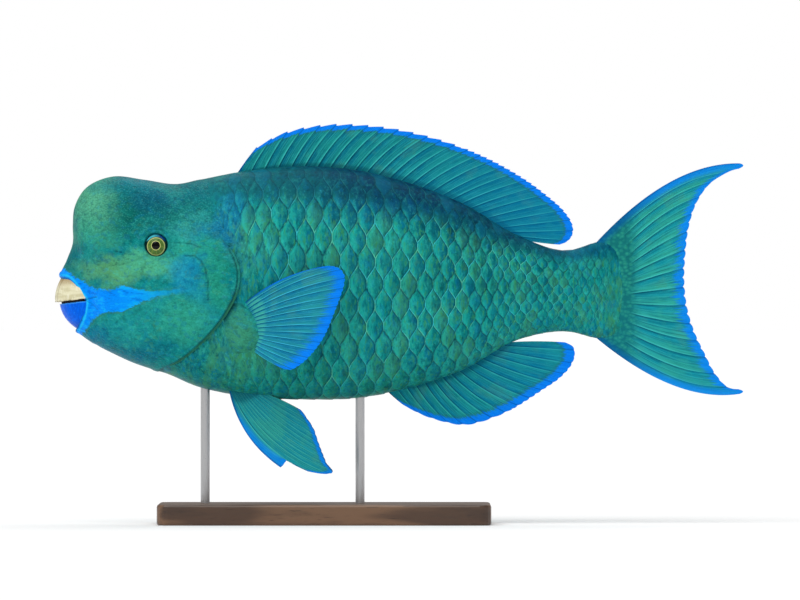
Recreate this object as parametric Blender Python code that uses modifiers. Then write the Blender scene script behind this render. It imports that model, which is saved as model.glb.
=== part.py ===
"""A steephead parrotfish at life size, swimming on a plain display stand.

The body is one loft of ribs that fan round the steep forehead. Thin cuts part it into head,
gill covers, trunk and tail stem. Each fin is a thin sheet with its rays raised in it.
The snout points to -X, the left side faces -Y, up is +Z and the floor is z = 0.
Side-view points are (distance behind the beak's tip, height above the body's long axis).
"""

import math
from collections import namedtuple

import bmesh
import bpy
import numpy as np
from mathutils import Matrix, Vector
from mathutils.bvhtree import BVHTree

# Driving sizes, in metres
LENGTH = 0.600
AXIS_HEIGHT = 0.204
GAP = 0.0003
FAR = 0.4
WELD = 0.000002
SHARP = math.radians(35)
LINE_POINTS = 13

# Ribs of the body, from the lip to the end of the scaled tail
Rib = namedtuple("Rib", "name top bottom half_width widest crown keel sweep")
RIBS = [
    Rib("lip", (0.0055, 0.0130), (0.0150, -0.0350), 0.0150, 0.48, 0.80, 0.80, 0.0090),
    Rib("snout", (0.0105, 0.0250), (0.0225, -0.0382), 0.0185, 0.46, 0.78, 0.80, 0.0085),
    Rib("nose", (0.0155, 0.0390), (0.0300, -0.0436), 0.0222, 0.42, 0.75, 0.80, 0.0080),
    Rib("brow", (0.0155, 0.0560), (0.0400, -0.0500), 0.0268, 0.40, 0.72, 0.80, 0.0075),
    Rib("forehead", (0.0170, 0.0720), (0.0520, -0.0560), 0.0310, 0.40, 0.70, 0.80, 0.0070),
    Rib("hump_front", (0.0270, 0.0890), (0.0660, -0.0625), 0.0345, 0.42, 0.70, 0.80, 0.0055),
    Rib("hump_top", (0.0500, 0.0990), (0.0820, -0.0682), 0.0378, 0.43, 0.70, 0.80, 0.0035),
    Rib("hump_back", (0.0780, 0.0962), (0.0980, -0.0732), 0.0405, 0.44, 0.76, 0.80, 0.0015),
    Rib("nape", (0.1050, 0.0925), (0.1160, -0.0808), 0.0425, 0.46, 0.86, 0.80, 0.0),
    Rib("shoulder", (0.1350, 0.0990), (0.1400, -0.0870), 0.0445, 0.47, 0.92, 0.80, 0.0),
    Rib("dorsal_origin", (0.1650, 0.1045), (0.1680, -0.0918), 0.0455, 0.48, 0.94, 0.80, 0.0),
    Rib("deepest", (0.2150, 0.1090), (0.2150, -0.0940), 0.0450, 0.49, 0.94, 0.82, 0.0),
    Rib("belly", (0.2650, 0.1052), (0.2650, -0.0927), 0.0415, 0.49, 0.94, 0.86, 0.0),
    Rib("anal_origin", (0.3080, 0.0946), (0.3080, -0.0845), 0.0360, 0.49, 0.94, 0.90, 0.0),
    Rib("rear_body", (0.3570, 0.0758), (0.3570, -0.0685), 0.0280, 0.50, 0.92, 0.92, 0.0),
    Rib("fins_end", (0.4030, 0.0490), (0.4030, -0.0435), 0.0200, 0.50, 0.88, 0.88, 0.0),
    Rib("tail_stem", (0.4450, 0.0353), (0.4450, -0.0360), 0.0135, 0.50, 0.84, 0.84, 0.0),
    Rib("tail_root", (0.4800, 0.0450), (0.4800, -0.0455), 0.0080, 0.50, 0.80, 0.80, 0.0),
    Rib("scale_edge", (0.4990, 0.0400), (0.4990, -0.0400), 0.0028, 0.50, 0.70, 0.70, 0.0),
]
SECTION_POINTS = 64
SMOOTH_RINGS = 90
SMOOTH_ROWS = 24

# Head
HEAD_TO = 0.178
HEAD_RINGS = 24
HEAD_ROWS = 16
FLARE = 0.0022
FLARE_ALONG = (0.105, 0.155)
FLARE_UP = (0.020, 0.060)
HEAD_CUT = [
    (0.118, 0.115), (0.124, 0.085), (0.137, 0.055), (0.1515, 0.036), (0.1590, 0.016),
    (0.1570, -0.002), (0.1490, -0.0185), (0.1380, -0.0335), (0.1240, -0.0480),
    (0.1075, -0.0610), (0.0900, -0.0705), (0.0800, -0.0850),
]

# Gill cover
PLATE_DEPTH = 0.0040
PLATE_RISE = 0.0007
SLIT = 0.0040
COVER_FRONT = [
    (0.1240, 0.0330), (0.1330, 0.0150), (0.1320, -0.0030), (0.1265, -0.0200),
    (0.1180, -0.0350), (0.1060, -0.0480), (0.0940, -0.0570),
]
COVER_REAR = [
    (0.1050, -0.0610), (0.1225, -0.0480), (0.1370, -0.0330), (0.1480, -0.0180),
    (0.1560, -0.0020), (0.1580, 0.0160), (0.1500, 0.0350), (0.1380, 0.0390),
]

# Mouth and beak
UPPER_MOUTH = [
    (0.0070, 0.0105), (0.0116, 0.0098), (0.0183, 0.0040), (0.0235, -0.0040),
    (0.0270, -0.0082),
]
LOWER_MOUTH = [
    (0.0270, -0.0082), (0.0272, -0.0120), (0.0256, -0.0205), (0.0216, -0.0295),
    (0.0185, -0.0345),
]
UPPER_BEAK = {"centre": (0.0340, -0.0080), "radii": (0.0340, 0.0212, 0.0340)}
LOWER_BEAK = {"centre": (0.0360, -0.0080), "radii": (0.0322, 0.0208, 0.0300)}
MOUTH_AHEAD = (-0.020, -0.060)
BITE_FRONT = (-0.010, -0.0122)
BITE_GAP = 0.0012
LIP_RADIUS = 0.0028
LIP_PLACE = 0.45
LIP_POINTS = 9
LIP_FRONT = 0.0014

# Eye and nostrils
EYE = (0.0890, 0.0392)
EYE_RADIUS = 0.0098
EYE_DEPTH = 0.0064
EYE_SUNK = 0.0032
ORBIT_RIM = 0.0014
NOSTRILS = [(0.0545, 0.0334), (0.0585, 0.0328)]
NOSTRIL_RADIUS = 0.0011

# Segments and rings of the rounded pieces
BEAK_MESH = (36, 24)
EYE_MESH = (20, 12)
PIT_MESH = (10, 6)
RIM_MESH = (24, 6)

# Scales, which are widest amidships and shorten towards the tail
SCALE_ROWS = 13
SCALE_LENGTH = 0.0155
SCALE_LENGTH_TAIL = 0.0090
SCALE_RISE = 0.15
SCALE_SLIDE = 0.45
SCALE_FADE = 0.5
SHORTEN_FROM = 0.250
TRUNK_FROM = 0.062
TAIL_CUT = 0.424

# Stand
BASE_SIZE = (0.290, 0.140, 0.018)
BASE_CENTRE = 0.235
BASE_CORNER = 0.010
BASE_EDGE = 0.002
ROD_RADIUS = 0.004
ROD_SIDES = 20
ROD_TOP = 0.060
RODS = {"stand_rod_front": 0.131, "stand_rod_rear": 0.266}

# Fins
Fin = namedtuple("Fin", "rays root rim bows rows sink thick ridge notch")
RAY_FOOT = 0.24
MEMBRANE = 0.0006
RIDGE_FROM = 0.2
RIDGE_FADE = 0.75
ROOT_POWER = 6
FINS = {
    "dorsal_fin": Fin(
        rays=20,
        root=[(0.160, 0.1030), (0.192, 0.1078), (0.225, 0.1090), (0.258, 0.1062),
              (0.308, 0.0946), (0.357, 0.0758), (0.385, 0.0600), (0.413, 0.0430)],
        rim=[(0.176, 0.1250), (0.196, 0.1360), (0.231, 0.1440), (0.273, 0.1440),
             (0.329, 0.1335), (0.385, 0.1115), (0.427, 0.0845), (0.446, 0.0655),
             (0.4510, 0.0500), (0.4440, 0.0405)],
        bows=(0.02, 0.10, -0.02), rows=5, sink=0.0050, thick=0.0030, ridge=0.0013, notch=0.0022,
    ),
    "anal_fin": Fin(
        rays=12,
        root=[(0.2910, -0.0890), (0.3235, -0.0815), (0.3410, -0.0755), (0.3600, -0.0675),
              (0.3800, -0.0565), (0.3990, -0.0455)],
        rim=[(0.3045, -0.1010), (0.3200, -0.1090), (0.3380, -0.1150), (0.3550, -0.1180),
             (0.3880, -0.1090), (0.4260, -0.0855), (0.4490, -0.0630), (0.4530, -0.0520),
             (0.4470, -0.0450)],
        bows=(-0.02, -0.10, 0.02), rows=5, sink=0.0050, thick=0.0030, ridge=0.0013, notch=0.0022,
    ),
    "caudal_fin": Fin(
        rays=16,
        root=[(0.4740, 0.0410), (0.4860, 0.0370), (0.4940, 0.0260), (0.4960, 0.0080),
              (0.4960, -0.0080), (0.4940, -0.0260), (0.4860, -0.0370), (0.4740, -0.0410)],
        rim=[(0.6000, 0.1105), (0.5860, 0.1030), (0.5720, 0.0935), (0.5600, 0.0770),
             (0.5530, 0.0560), (0.5500, 0.0330), (0.5490, 0.0060), (0.5520, -0.0180),
             (0.5580, -0.0370), (0.5670, -0.0560), (0.5760, -0.0730), (0.5870, -0.0850),
             (0.6000, -0.0905)],
        bows=(0.13, 0.0, -0.12), rows=7, sink=0.0060, thick=0.0046, ridge=0.0014, notch=0.0018,
    ),
    "pectoral_fin": Fin(
        rays=14,
        root=[(0.1640, -0.0148), (0.1705, -0.0270), (0.1735, -0.0390), (0.1725, -0.0505)],
        rim=[(0.2500, 0.0200), (0.2535, 0.0080), (0.2485, -0.0095), (0.2430, -0.0265),
             (0.2350, -0.0430), (0.2230, -0.0580), (0.2110, -0.0690), (0.2030, -0.0705)],
        bows=(0.09, 0.02, -0.05), rows=5, sink=0.0050, thick=0.0040, ridge=0.0011, notch=0.0008,
    ),
    "pelvic_fin": Fin(
        rays=7,
        root=[(0.1540, -0.0880), (0.1660, -0.0890), (0.1800, -0.0895)],
        rim=[(0.1975, -0.1550), (0.2398, -0.1600), (0.2365, -0.1510), (0.2330, -0.1420),
             (0.2295, -0.1325), (0.2250, -0.1200), (0.2150, -0.1050)],
        bows=(-0.11, -0.08, 0.03), rows=7, sink=0.0050, thick=0.0036, ridge=0.0012, notch=0.0010,
    ),
}
TAIL_SPLIT = [(0.45, 0.0), (0.62, 0.0080)]
PECTORAL_SPREAD = 20.0
PECTORAL_SINK = 0.0070
PECTORAL_BASE = 0.0140
PELVIC_SPREAD = 16.0
PELVIC_ROOT_Y = 0.0130
PELVIC_CLEFT = 0.0110

# Colour, roughness and metallic value of each material
FINISHES = {
    "skin": ((0.020, 0.270, 0.240), 0.42, 0.0),
    "lips": ((0.004, 0.190, 0.850), 0.40, 0.0),
    "beak": ((0.760, 0.680, 0.500), 0.35, 0.0),
    "lower_beak": ((0.006, 0.120, 0.620), 0.35, 0.0),
    "eye": ((0.300, 0.330, 0.110), 0.12, 0.0),
    "fin": ((0.020, 0.230, 0.320), 0.45, 0.0),
    "stand_wood": ((0.110, 0.055, 0.028), 0.45, 0.0),
    "stand_metal": ((0.560, 0.560, 0.570), 0.30, 1.0),
}


# Scene helpers


def clear_scene():
    for old in list(bpy.data.objects):
        bpy.data.objects.remove(old, do_unlink=True)


def new_collection(name):
    made = bpy.data.collections.new(name)
    bpy.context.scene.collection.children.link(made)
    return made


def material(name):
    made = bpy.data.materials.get(name)
    if made is None:
        colour, roughness, metallic = FINISHES[name]
        made = bpy.data.materials.new(name)
        made.use_nodes = True
        shader = made.node_tree.nodes["Principled BSDF"]
        shader.inputs["Base Color"].default_value = (*colour, 1.0)
        shader.inputs["Roughness"].default_value = roughness
        shader.inputs["Metallic"].default_value = metallic
    return made


def add_object(name, bm, collection, finish=None):
    """Turns a bmesh into an object in the collection."""
    mesh = bpy.data.meshes.new(name)
    bm.normal_update()
    bm.to_mesh(mesh)
    bm.free()
    made = bpy.data.objects.new(name, mesh)
    collection.objects.link(made)
    if finish:
        mesh.materials.append(material(finish))
        mesh.shade_smooth()
    if collection is cutters:
        made.hide_render = True
        made.display_type = "WIRE"
    return made


def boolean(target, operation, cutter):
    step = target.modifiers.new(f"{operation.lower()} {cutter.name}", "BOOLEAN")
    step.operation = operation
    step.solver = "EXACT"
    step.object = cutter


def baked(source, name, collection, finish=None):
    """A plain mesh object with the source's modifiers applied. The source is removed."""
    graph = bpy.context.evaluated_depsgraph_get()
    mesh = bpy.data.meshes.new_from_object(source.evaluated_get(graph))
    mesh.transform(source.matrix_world)
    bm = bmesh.new()
    bm.from_mesh(mesh)
    bmesh.ops.remove_doubles(bm, verts=bm.verts, dist=1e-6)
    bpy.data.objects.remove(source, do_unlink=True)
    return add_object(name, bm, collection, finish)


def place(point, y=0.0):
    """A side-view point as a point of the scene."""
    return Vector((point[0] - LENGTH / 2, y, point[1] + AXIS_HEIGHT))


# Curves


def spline(points, share):
    """A smooth curve through the points, at a share of its length from 0 to 1."""
    rows = np.array(points, float)
    steps = np.linalg.norm(np.diff(rows[:, :2], axis=0), axis=1)
    knots = np.concatenate([[0.0], np.cumsum(steps)])
    return hermite(knots, rows, share * knots[-1])


def hermite(knots, rows, at):
    """Cubic interpolation of table rows at a knot value, with slopes from the neighbours."""
    slopes = np.gradient(rows, knots, axis=0)
    i = int(np.clip(np.searchsorted(knots, at) - 1, 0, len(knots) - 2))
    width = knots[i + 1] - knots[i]
    s = (at - knots[i]) / width
    blend = (
        2 * s**3 - 3 * s**2 + 1, s**3 - 2 * s**2 + s,
        3 * s**2 - 2 * s**3, s**3 - s**2,
    )
    return (
        blend[0] * rows[i] + blend[1] * width * slopes[i]
        + blend[2] * rows[i + 1] + blend[3] * width * slopes[i + 1]
    )


def sampled(points, count):
    return [tuple(spline(points, k / (count - 1))) for k in range(count)]


def ramp(value, low, high):
    """Eases from 0 at low to 1 at high."""
    s = min(1.0, max(0.0, (value - low) / (high - low)))
    return s * s * (3 - 2 * s)


# Body loft

RIB_ROWS = np.array([[*rib.top, *rib.bottom, *rib[3:]] for rib in RIBS])
RIB_STEPS = (
    np.linalg.norm(np.diff(RIB_ROWS[:, 0:2], axis=0), axis=1)
    + np.linalg.norm(np.diff(RIB_ROWS[:, 2:4], axis=0), axis=1)
) / 2
RIB_KNOTS = np.concatenate([[0.0], np.cumsum(RIB_STEPS)])


def station_behind(x):
    """The station along the body whose rib has its mean x at this distance behind the beak."""
    means = (RIB_ROWS[:, 0] + RIB_ROWS[:, 2]) / 2
    return float(np.interp(x, means, RIB_KNOTS))


def rib_curve(station):
    """Points of the left half of the rib at a station, from the back to the belly."""
    x_top, z_top, x_low, z_low, half_width, widest, crown, keel, sweep = hermite(
        RIB_KNOTS, RIB_ROWS, station
    )
    top, low = np.array([x_top, z_top]), np.array([x_low, z_low])
    middle = low + widest * (top - low)
    points = []
    for angle in np.linspace(0, math.pi, SECTION_POINTS):
        end, power = (top, crown) if angle <= math.pi / 2 else (low, keel)
        x, z = middle + (end - middle) * abs(math.cos(angle))
        side = max(0.0, math.sin(angle)) ** power
        points.append((x + sweep * side**2, -half_width * side, z))
    return np.array(points)


def rib_points(station, rows):
    """The rib cut into rows of equal girth: rows + 1 points."""
    curve = rib_curve(station)
    girth = np.concatenate([[0.0], np.cumsum(np.linalg.norm(np.diff(curve, axis=0), axis=1))])
    wanted = np.linspace(0, girth[-1], rows + 1)
    return np.stack([np.interp(wanted, girth, curve[:, k]) for k in range(3)], axis=1)


def loft(stations, rows, grow=0.0, scaled=0):
    """A closed skin through the ribs at these stations. scaled is 1 or 2 for the lattice's phase."""
    bm = bmesh.new()
    rings = []
    for station in stations:
        left = [place((x, z), y) for x, y, z in rib_points(station, rows)]
        right = [Vector((p.x, -p.y, p.z)) for p in reversed(left[1:-1])]
        rings.append([bm.verts.new(p) for p in left + right])
    around = 2 * rows
    for i, (ring, after) in enumerate(zip(rings, rings[1:])):
        for j in range(around):
            quad = (ring[j], ring[(j + 1) % around], after[(j + 1) % around], after[j])
            if scaled and (i + j + scaled) % 2:
                bm.faces.new((quad[0], quad[1], quad[3]))
                bm.faces.new((quad[1], quad[2], quad[3]))
            elif scaled:
                bm.faces.new((quad[0], quad[1], quad[2]))
                bm.faces.new((quad[0], quad[2], quad[3]))
            else:
                bm.faces.new(quad)
    bm.faces.new(list(reversed(rings[0])))
    bm.faces.new(rings[-1])
    bm.normal_update()
    if bm.calc_volume(signed=True) < 0:
        bmesh.ops.reverse_faces(bm, faces=bm.faces)
        bm.normal_update()
    if scaled:
        raise_scales(rings, rows, scaled)
    if grow:
        bm.normal_update()
        for vert, shift in [(v, v.normal * grow) for v in bm.verts]:
            vert.co += shift
    return bm


def raise_scales(rings, rows, phase):
    """Lifts the middle of each scale of the lattice and slides it back over the next one."""
    moves = []
    for i in range(1, len(rings) - 1):
        for j, vert in enumerate(rings[i]):
            if (i + j + phase) % 2:
                continue
            back = rings[i + 1][j].co - vert.co
            rise = vert.normal * back.length * SCALE_RISE
            fade = ramp(math.sin(math.pi * (j % rows) / rows), 0.0, SCALE_FADE)
            moves.append((vert, (rise + back * SCALE_SLIDE) * fade))
    for vert, move in moves:
        vert.co += move


def scale_stations():
    """Stations half a scale apart, from under the gill cover to the tail."""
    found = [station_behind(TRUNK_FROM)]
    start, end = station_behind(SHORTEN_FROM), RIB_KNOTS[-1]
    while found[-1] < end:
        share = ramp(found[-1], start, end)
        length = SCALE_LENGTH + (SCALE_LENGTH_TAIL - SCALE_LENGTH) * share
        found.append(found[-1] + length / 2)
    return [s * (end - found[0]) / (found[-1] - found[0]) + found[0]
            for s in np.array(found) - found[0]]


# Cutters and small solids


def prism(name, outline, y_from=-FAR, y_to=FAR):
    """A flat outline in the side view, made solid across the body."""
    data = bpy.data.curves.new(name, "CURVE")
    data.dimensions = "2D"
    data.fill_mode = "BOTH"
    data.extrude = (y_to - y_from) / 2
    line = data.splines.new("POLY")
    line.points.add(len(outline) - 1)
    for point, (x, z) in zip(line.points, outline):
        point.co = (x, z, 0.0, 1.0)
    line.use_cyclic_u = True
    source = bpy.data.objects.new(f"{name}_outline", data)
    source.location = place((0.0, 0.0), (y_from + y_to) / 2)
    source.rotation_euler = (math.pi / 2, 0.0, 0.0)
    cutters.objects.link(source)
    bpy.context.view_layer.update()
    return baked(source, name, cutters)


def offset_line(line, distance):
    """An open side-view line moved sideways, to the right of its direction if positive."""
    rows = np.array(line)
    ways = np.gradient(rows, axis=0)
    ways /= np.linalg.norm(ways, axis=1)[:, None]
    return [(x + dz * distance, z - dx * distance) for (x, z), (dx, dz) in zip(rows, ways)]


def lengthened(line):
    """A side-view line that runs on a little at both ends."""
    rows = np.array(line)
    first = rows[0] + (rows[0] - rows[1]) / np.linalg.norm(rows[0] - rows[1]) * SLIT / 2
    last = rows[-1] + (rows[-1] - rows[-2]) / np.linalg.norm(rows[-1] - rows[-2]) * SLIT / 2
    return [tuple(first), *line, tuple(last)]


def ellipsoid(name, centre, radii, collection, finish, segments, rings, turn=None):
    bm = bmesh.new()
    bmesh.ops.create_uvsphere(bm, u_segments=segments, v_segments=rings, radius=1.0)
    size = Matrix.Diagonal((*radii, 1.0))
    turned = turn.to_matrix().to_4x4() if turn else Matrix.Identity(4)
    bm.transform(Matrix.Translation(centre) @ turned @ size)
    return add_object(name, bm, collection, finish)


def flank(point):
    """The place and outward normal of the smooth body's left side behind a side-view point."""
    start = place(point, -FAR)
    hit, normal, _, _ = smooth_body.ray_cast(start, Vector((0, 1, 0)))
    return hit, normal


def mirrored(bm):
    """The same bmesh seen in the body's middle plane, faces still outward."""
    for vert in bm.verts:
        vert.co.y = -vert.co.y
    bmesh.ops.reverse_faces(bm, faces=bm.faces)
    return bm


def mirror_object(source, name, collection, finish=None):
    bm = bmesh.new()
    bm.from_mesh(source.data)
    return add_object(name, mirrored(bm), collection, finish)


# Head


def flared_loft(stations, rows, grow=0.0):
    """The head's loft, which widens towards the edge of the gill cover."""
    bm = loft(stations, rows)
    lift = []
    for vert in bm.verts:
        x = vert.co.x + LENGTH / 2
        z = vert.co.z - AXIS_HEIGHT
        flare = FLARE * ramp(x, *FLARE_ALONG) * (1 - ramp(z, *FLARE_UP))
        lift.append((vert, vert.normal * (flare + grow)))
    for vert, shift in lift:
        vert.co += shift
    return bm


def lip_roll(name, line):
    """A roll of lip along one side of the mouth, round the front, with closed ends."""
    path = offset_line(sampled(line, LIP_POINTS), -LIP_RADIUS * LIP_PLACE)
    left = [flank(point)[0] for point in path]
    if abs(left[0].y) < abs(left[-1].y):
        left.reverse()
    middle = Vector((left[-1].x - LIP_FRONT, 0.0, left[-1].z))
    across = [*left, middle, *[Vector((p.x, -p.y, p.z)) for p in reversed(left)]]
    data = bpy.data.curves.new(name, "CURVE")
    data.dimensions = "3D"
    data.bevel_depth = LIP_RADIUS
    data.bevel_resolution = 2
    data.use_fill_caps = True
    roll = data.splines.new("POLY")
    roll.points.add(len(across) - 1)
    for point, co in zip(roll.points, across):
        point.co = (*co, 1.0)
    source = bpy.data.objects.new(f"{name}_path", data)
    cutters.objects.link(source)
    bpy.context.view_layer.update()
    return baked(source, name, cutters)


def make_beak(name, shape, outline, finish):
    """One dental plate: an ellipsoid cut to its outline in the side view."""
    radii = shape["radii"]
    plate = ellipsoid(name, place(shape["centre"]), radii, fish, finish, *BEAK_MESH)
    boolean(plate, "INTERSECT", prism(f"{name}_block", outline))
    return plate


def bite_line(drop=0.0):
    corner = UPPER_MOUTH[-1]
    return [(corner[0], corner[1] - drop), (BITE_FRONT[0], BITE_FRONT[1] - drop)]


def make_beaks():
    upper_edge = offset_line(sampled(UPPER_MOUTH, LIP_POINTS), GAP)
    lower_edge = offset_line(sampled(LOWER_MOUTH, LIP_POINTS), GAP)
    ahead, below = MOUTH_AHEAD
    upper = [(ahead, upper_edge[0][1]), *upper_edge[:-1], *bite_line()]
    lower = [*bite_line(BITE_GAP)[::-1], *lower_edge[2:], (lower_edge[-1][0], below), (ahead, below)]
    make_beak("upper_beak", UPPER_BEAK, upper, "beak")
    make_beak("lower_beak", LOWER_BEAK, lower, "lower_beak")


def make_eyes(head):
    """Eyeballs, the sockets that they sit in and the raised rims round them."""
    centre, normal = flank(EYE)
    turn = normal.to_track_quat("Z", "Y")
    centre = centre - normal * EYE_SUNK
    radii = (EYE_RADIUS, EYE_RADIUS, EYE_DEPTH)
    grown = tuple(r + GAP for r in radii)
    eye = ellipsoid("eye_left", centre, radii, fish, "eye", *EYE_MESH, turn)
    mirror_object(eye, "eye_right", fish, "eye")
    rim = bmesh.new()
    bpy.ops.mesh.primitive_torus_add(
        major_segments=RIM_MESH[0], minor_segments=RIM_MESH[1],
        major_radius=EYE_RADIUS + ORBIT_RIM / 2, minor_radius=ORBIT_RIM,
        location=centre + normal * (EYE_SUNK - ORBIT_RIM / 2), rotation=turn.to_euler(),
    )
    ring = bpy.context.active_object
    rim.from_mesh(ring.data)
    rim.transform(ring.matrix_world)
    bpy.data.objects.remove(ring, do_unlink=True)
    left_rim = add_object("orbit_left", rim, cutters)
    socket = ellipsoid("socket_left", centre, grown, cutters, None, *EYE_MESH, turn)
    for piece, operation in ((left_rim, "UNION"), (socket, "DIFFERENCE")):
        boolean(head, operation, piece)
        boolean(head, operation, mirror_object(piece, f"{piece.name}_mirrored", cutters))


def make_nostrils(head):
    for k, point in enumerate(NOSTRILS):
        hit, _ = flank(point)
        pit = ellipsoid(f"nostril_{k}", hit, (NOSTRIL_RADIUS,) * 3, cutters, None, *PIT_MESH)
        boolean(head, "DIFFERENCE", pit)
        boolean(head, "DIFFERENCE", mirror_object(pit, f"nostril_{k}_mirrored", cutters))


def make_gill_covers(head, stations):
    """A thin curved plate each side, in a pocket of the head."""
    front = sampled(COVER_FRONT, LINE_POINTS)
    rear = sampled(COVER_REAR, LINE_POINTS)
    outline = front + rear
    pocket_outline = offset_line(lengthened(front), GAP) + offset_line(lengthened(rear), SLIT)
    for side, y_from, y_to in (("left", -FAR, 0.0), ("right", 0.0, FAR)):
        raised = flared_loft(stations, HEAD_ROWS, PLATE_RISE)
        plate = add_object(f"gill_cover_{side}", raised, fish, "skin")
        boolean(plate, "INTERSECT", prism(f"cover_{side}", outline, y_from, y_to))
        core = add_object(f"core_{side}", flared_loft(stations, HEAD_ROWS, -PLATE_DEPTH), cutters)
        boolean(plate, "DIFFERENCE", core)
        pocket = prism(f"pocket_{side}", pocket_outline, y_from, y_to)
        deeper = flared_loft(stations, HEAD_ROWS, -PLATE_DEPTH - GAP)
        boolean(pocket, "DIFFERENCE", add_object(f"pocket_floor_{side}", deeper, cutters))
        boolean(head, "DIFFERENCE", pocket)


def head_region(name, grow):
    """All in front of the line where the head ends."""
    edge = offset_line(sampled(HEAD_CUT, 3 * LINE_POINTS), -grow)
    low, high = (-FAR / 2, FAR / 2)
    return prism(name, [*edge, (edge[-1][0], low), (low, low), (low, high), (edge[0][0], high)])


def make_head():
    stations = list(np.linspace(0.0, station_behind(HEAD_TO), HEAD_RINGS))
    head = add_object("head", flared_loft(stations, HEAD_ROWS), fish, "skin")
    boolean(head, "INTERSECT", head_region("head_region", 0.0))
    ahead, below = MOUTH_AHEAD
    upper = sampled(UPPER_MOUTH, LIP_POINTS)
    lower = sampled(LOWER_MOUTH, LIP_POINTS)
    mouth = [(ahead, upper[0][1]), *upper, *lower[1:], (lower[-1][0], below), (ahead, below)]
    boolean(head, "UNION", lip_roll("upper_lip", UPPER_MOUTH))
    boolean(head, "UNION", lip_roll("lower_lip", LOWER_MOUTH))
    boolean(head, "DIFFERENCE", prism("mouth_opening", mouth))
    make_eyes(head)
    make_nostrils(head)
    make_gill_covers(head, stations)
    make_beaks()


# Trunk, tail stem and fins


def make_trunk():
    """The scaled body in two lengths, and grown copies that trim what grows from them."""
    stations = scale_stations()
    cut = min(range(len(stations)), key=lambda k: abs(stations[k] - station_behind(TAIL_CUT)))
    front = stations[: cut + 1]
    rear = [stations[cut] + GAP, *stations[cut + 1:]]
    phase = 2 - cut % 2
    trunk = add_object("trunk", loft(front, SCALE_ROWS, 0.0, 2), fish, "skin")
    boolean(trunk, "DIFFERENCE", head_region("head_region_grown", GAP))
    add_object("tail_stem", loft(rear, SCALE_ROWS, 0.0, phase), fish, "skin")
    add_object("trunk_grown", loft(front, SCALE_ROWS, GAP, 2), cutters)
    add_object("tail_grown", loft(rear, SCALE_ROWS, GAP, phase), cutters)


def fin_columns(rays):
    """Places across the fin, in rays: each crest and the two feet that it rises from."""
    found = []
    for k in range(rays - 1):
        found += [k, k + RAY_FOOT, k + 1 - RAY_FOOT]
    return [*found, rays - 1]


def rim_point(shape, share):
    """A point of the rim, which is given evenly along it or as one point for each ray."""
    if len(shape.rim) != shape.rays:
        return spline(shape.rim, share)
    places = np.arange(shape.rays)
    return hermite(places, np.array(shape.rim), share * places[-1])


def fin_point(shape, across, along, notch):
    """The side-view point of a fin at a place across, in rays, and along, from 0 to 1."""
    share = across / (shape.rays - 1)
    root = spline(shape.root, share)
    tip = rim_point(shape, share)
    way = tip - root
    length = np.linalg.norm(way)
    root = root - way / length * shape.sink
    tip = tip - way / length * notch
    lead, middle, trail = shape.bows
    bow = (1 - share) ** 2 * lead + 2 * share * (1 - share) * middle + share**2 * trail
    sideways = np.array([-way[1], way[0]]) * bow * 2
    control = (root + tip) / 2 + sideways
    return (1 - along) ** 2 * root + 2 * along * (1 - along) * control + along**2 * tip


def fin_sheet(name, shape, lateral, notch_of=None):
    """An open sheet of triangles with its thickness in a vertex group, for Solidify."""
    columns = fin_columns(shape.rays)
    shares = [(k / (shape.rows - 1)) ** 0.9 for k in range(shape.rows)]
    bm = bmesh.new()
    weights = []
    grid = []
    for across in columns:
        between = math.sin(math.pi * (across % 1.0))
        notch = shape.notch * between
        if notch_of:
            notch = max(notch, notch_of(across))
        strip = []
        for along in shares:
            point = fin_point(shape, across, along, notch)
            strip.append(bm.verts.new(place(point, lateral(point, across, along))))
            crest = shape.ridge if across % 1.0 == 0 else 0.0
            thick = MEMBRANE + crest * ramp(along, 0, RIDGE_FROM) * (1 - RIDGE_FADE * along)
            thick += (shape.thick - MEMBRANE) * (1 - along) ** ROOT_POWER
            weights.append(thick / (shape.thick + shape.ridge))
        grid.append(strip)
    for left, right in zip(grid, grid[1:]):
        for k in range(shape.rows - 1):
            bm.faces.new((left[k], right[k], right[k + 1]))
            bm.faces.new((left[k], right[k + 1], left[k + 1]))
    return bm, weights


def make_fin(name, shape, lateral, roots, notch_of=None, mirror=False):
    """A fin with live Solidify and trimmed where it meets the body."""
    bm, weights = fin_sheet(name, shape, lateral, notch_of)
    if mirror:
        bm = mirrored(bm)
    fin = add_object(name, bm, fish, "fin")
    group = fin.vertex_groups.new(name="thickness")
    for k, weight in enumerate(weights):
        group.add([k], weight, "REPLACE")
    solid = fin.modifiers.new("thickness", "SOLIDIFY")
    solid.thickness = shape.thick + shape.ridge
    solid.offset = 0.0
    solid.vertex_group = group.name
    for root in roots:
        boolean(fin, "DIFFERENCE", bpy.data.objects[root])


def pectoral_side(point, across, along):
    """The pectoral fin leaves the flank steeply and then stands out at its spread."""
    shape = FINS["pectoral_fin"]
    root = spline(shape.root, across / (shape.rays - 1))
    hit, _ = flank(root)
    reach = np.linalg.norm(point - root) if along > 0 else -shape.sink
    sunk = PECTORAL_SINK * (1 - ramp(reach, -shape.sink, PECTORAL_BASE))
    return hit.y + sunk - max(reach, 0.0) * math.tan(math.radians(PECTORAL_SPREAD))


def pelvic_side(point, across, along):
    """The pelvic fins hang from the belly and spread apart."""
    drop = FINS["pelvic_fin"].root[0][1] - point[1]
    return -PELVIC_ROOT_Y - drop * math.tan(math.radians(PELVIC_SPREAD))


def pelvic_cleft(across):
    """The deep cleft behind the pelvic spine."""
    return PELVIC_CLEFT * max(0.0, 1 - abs(across - RAY_FOOT) / RAY_FOOT)


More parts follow.
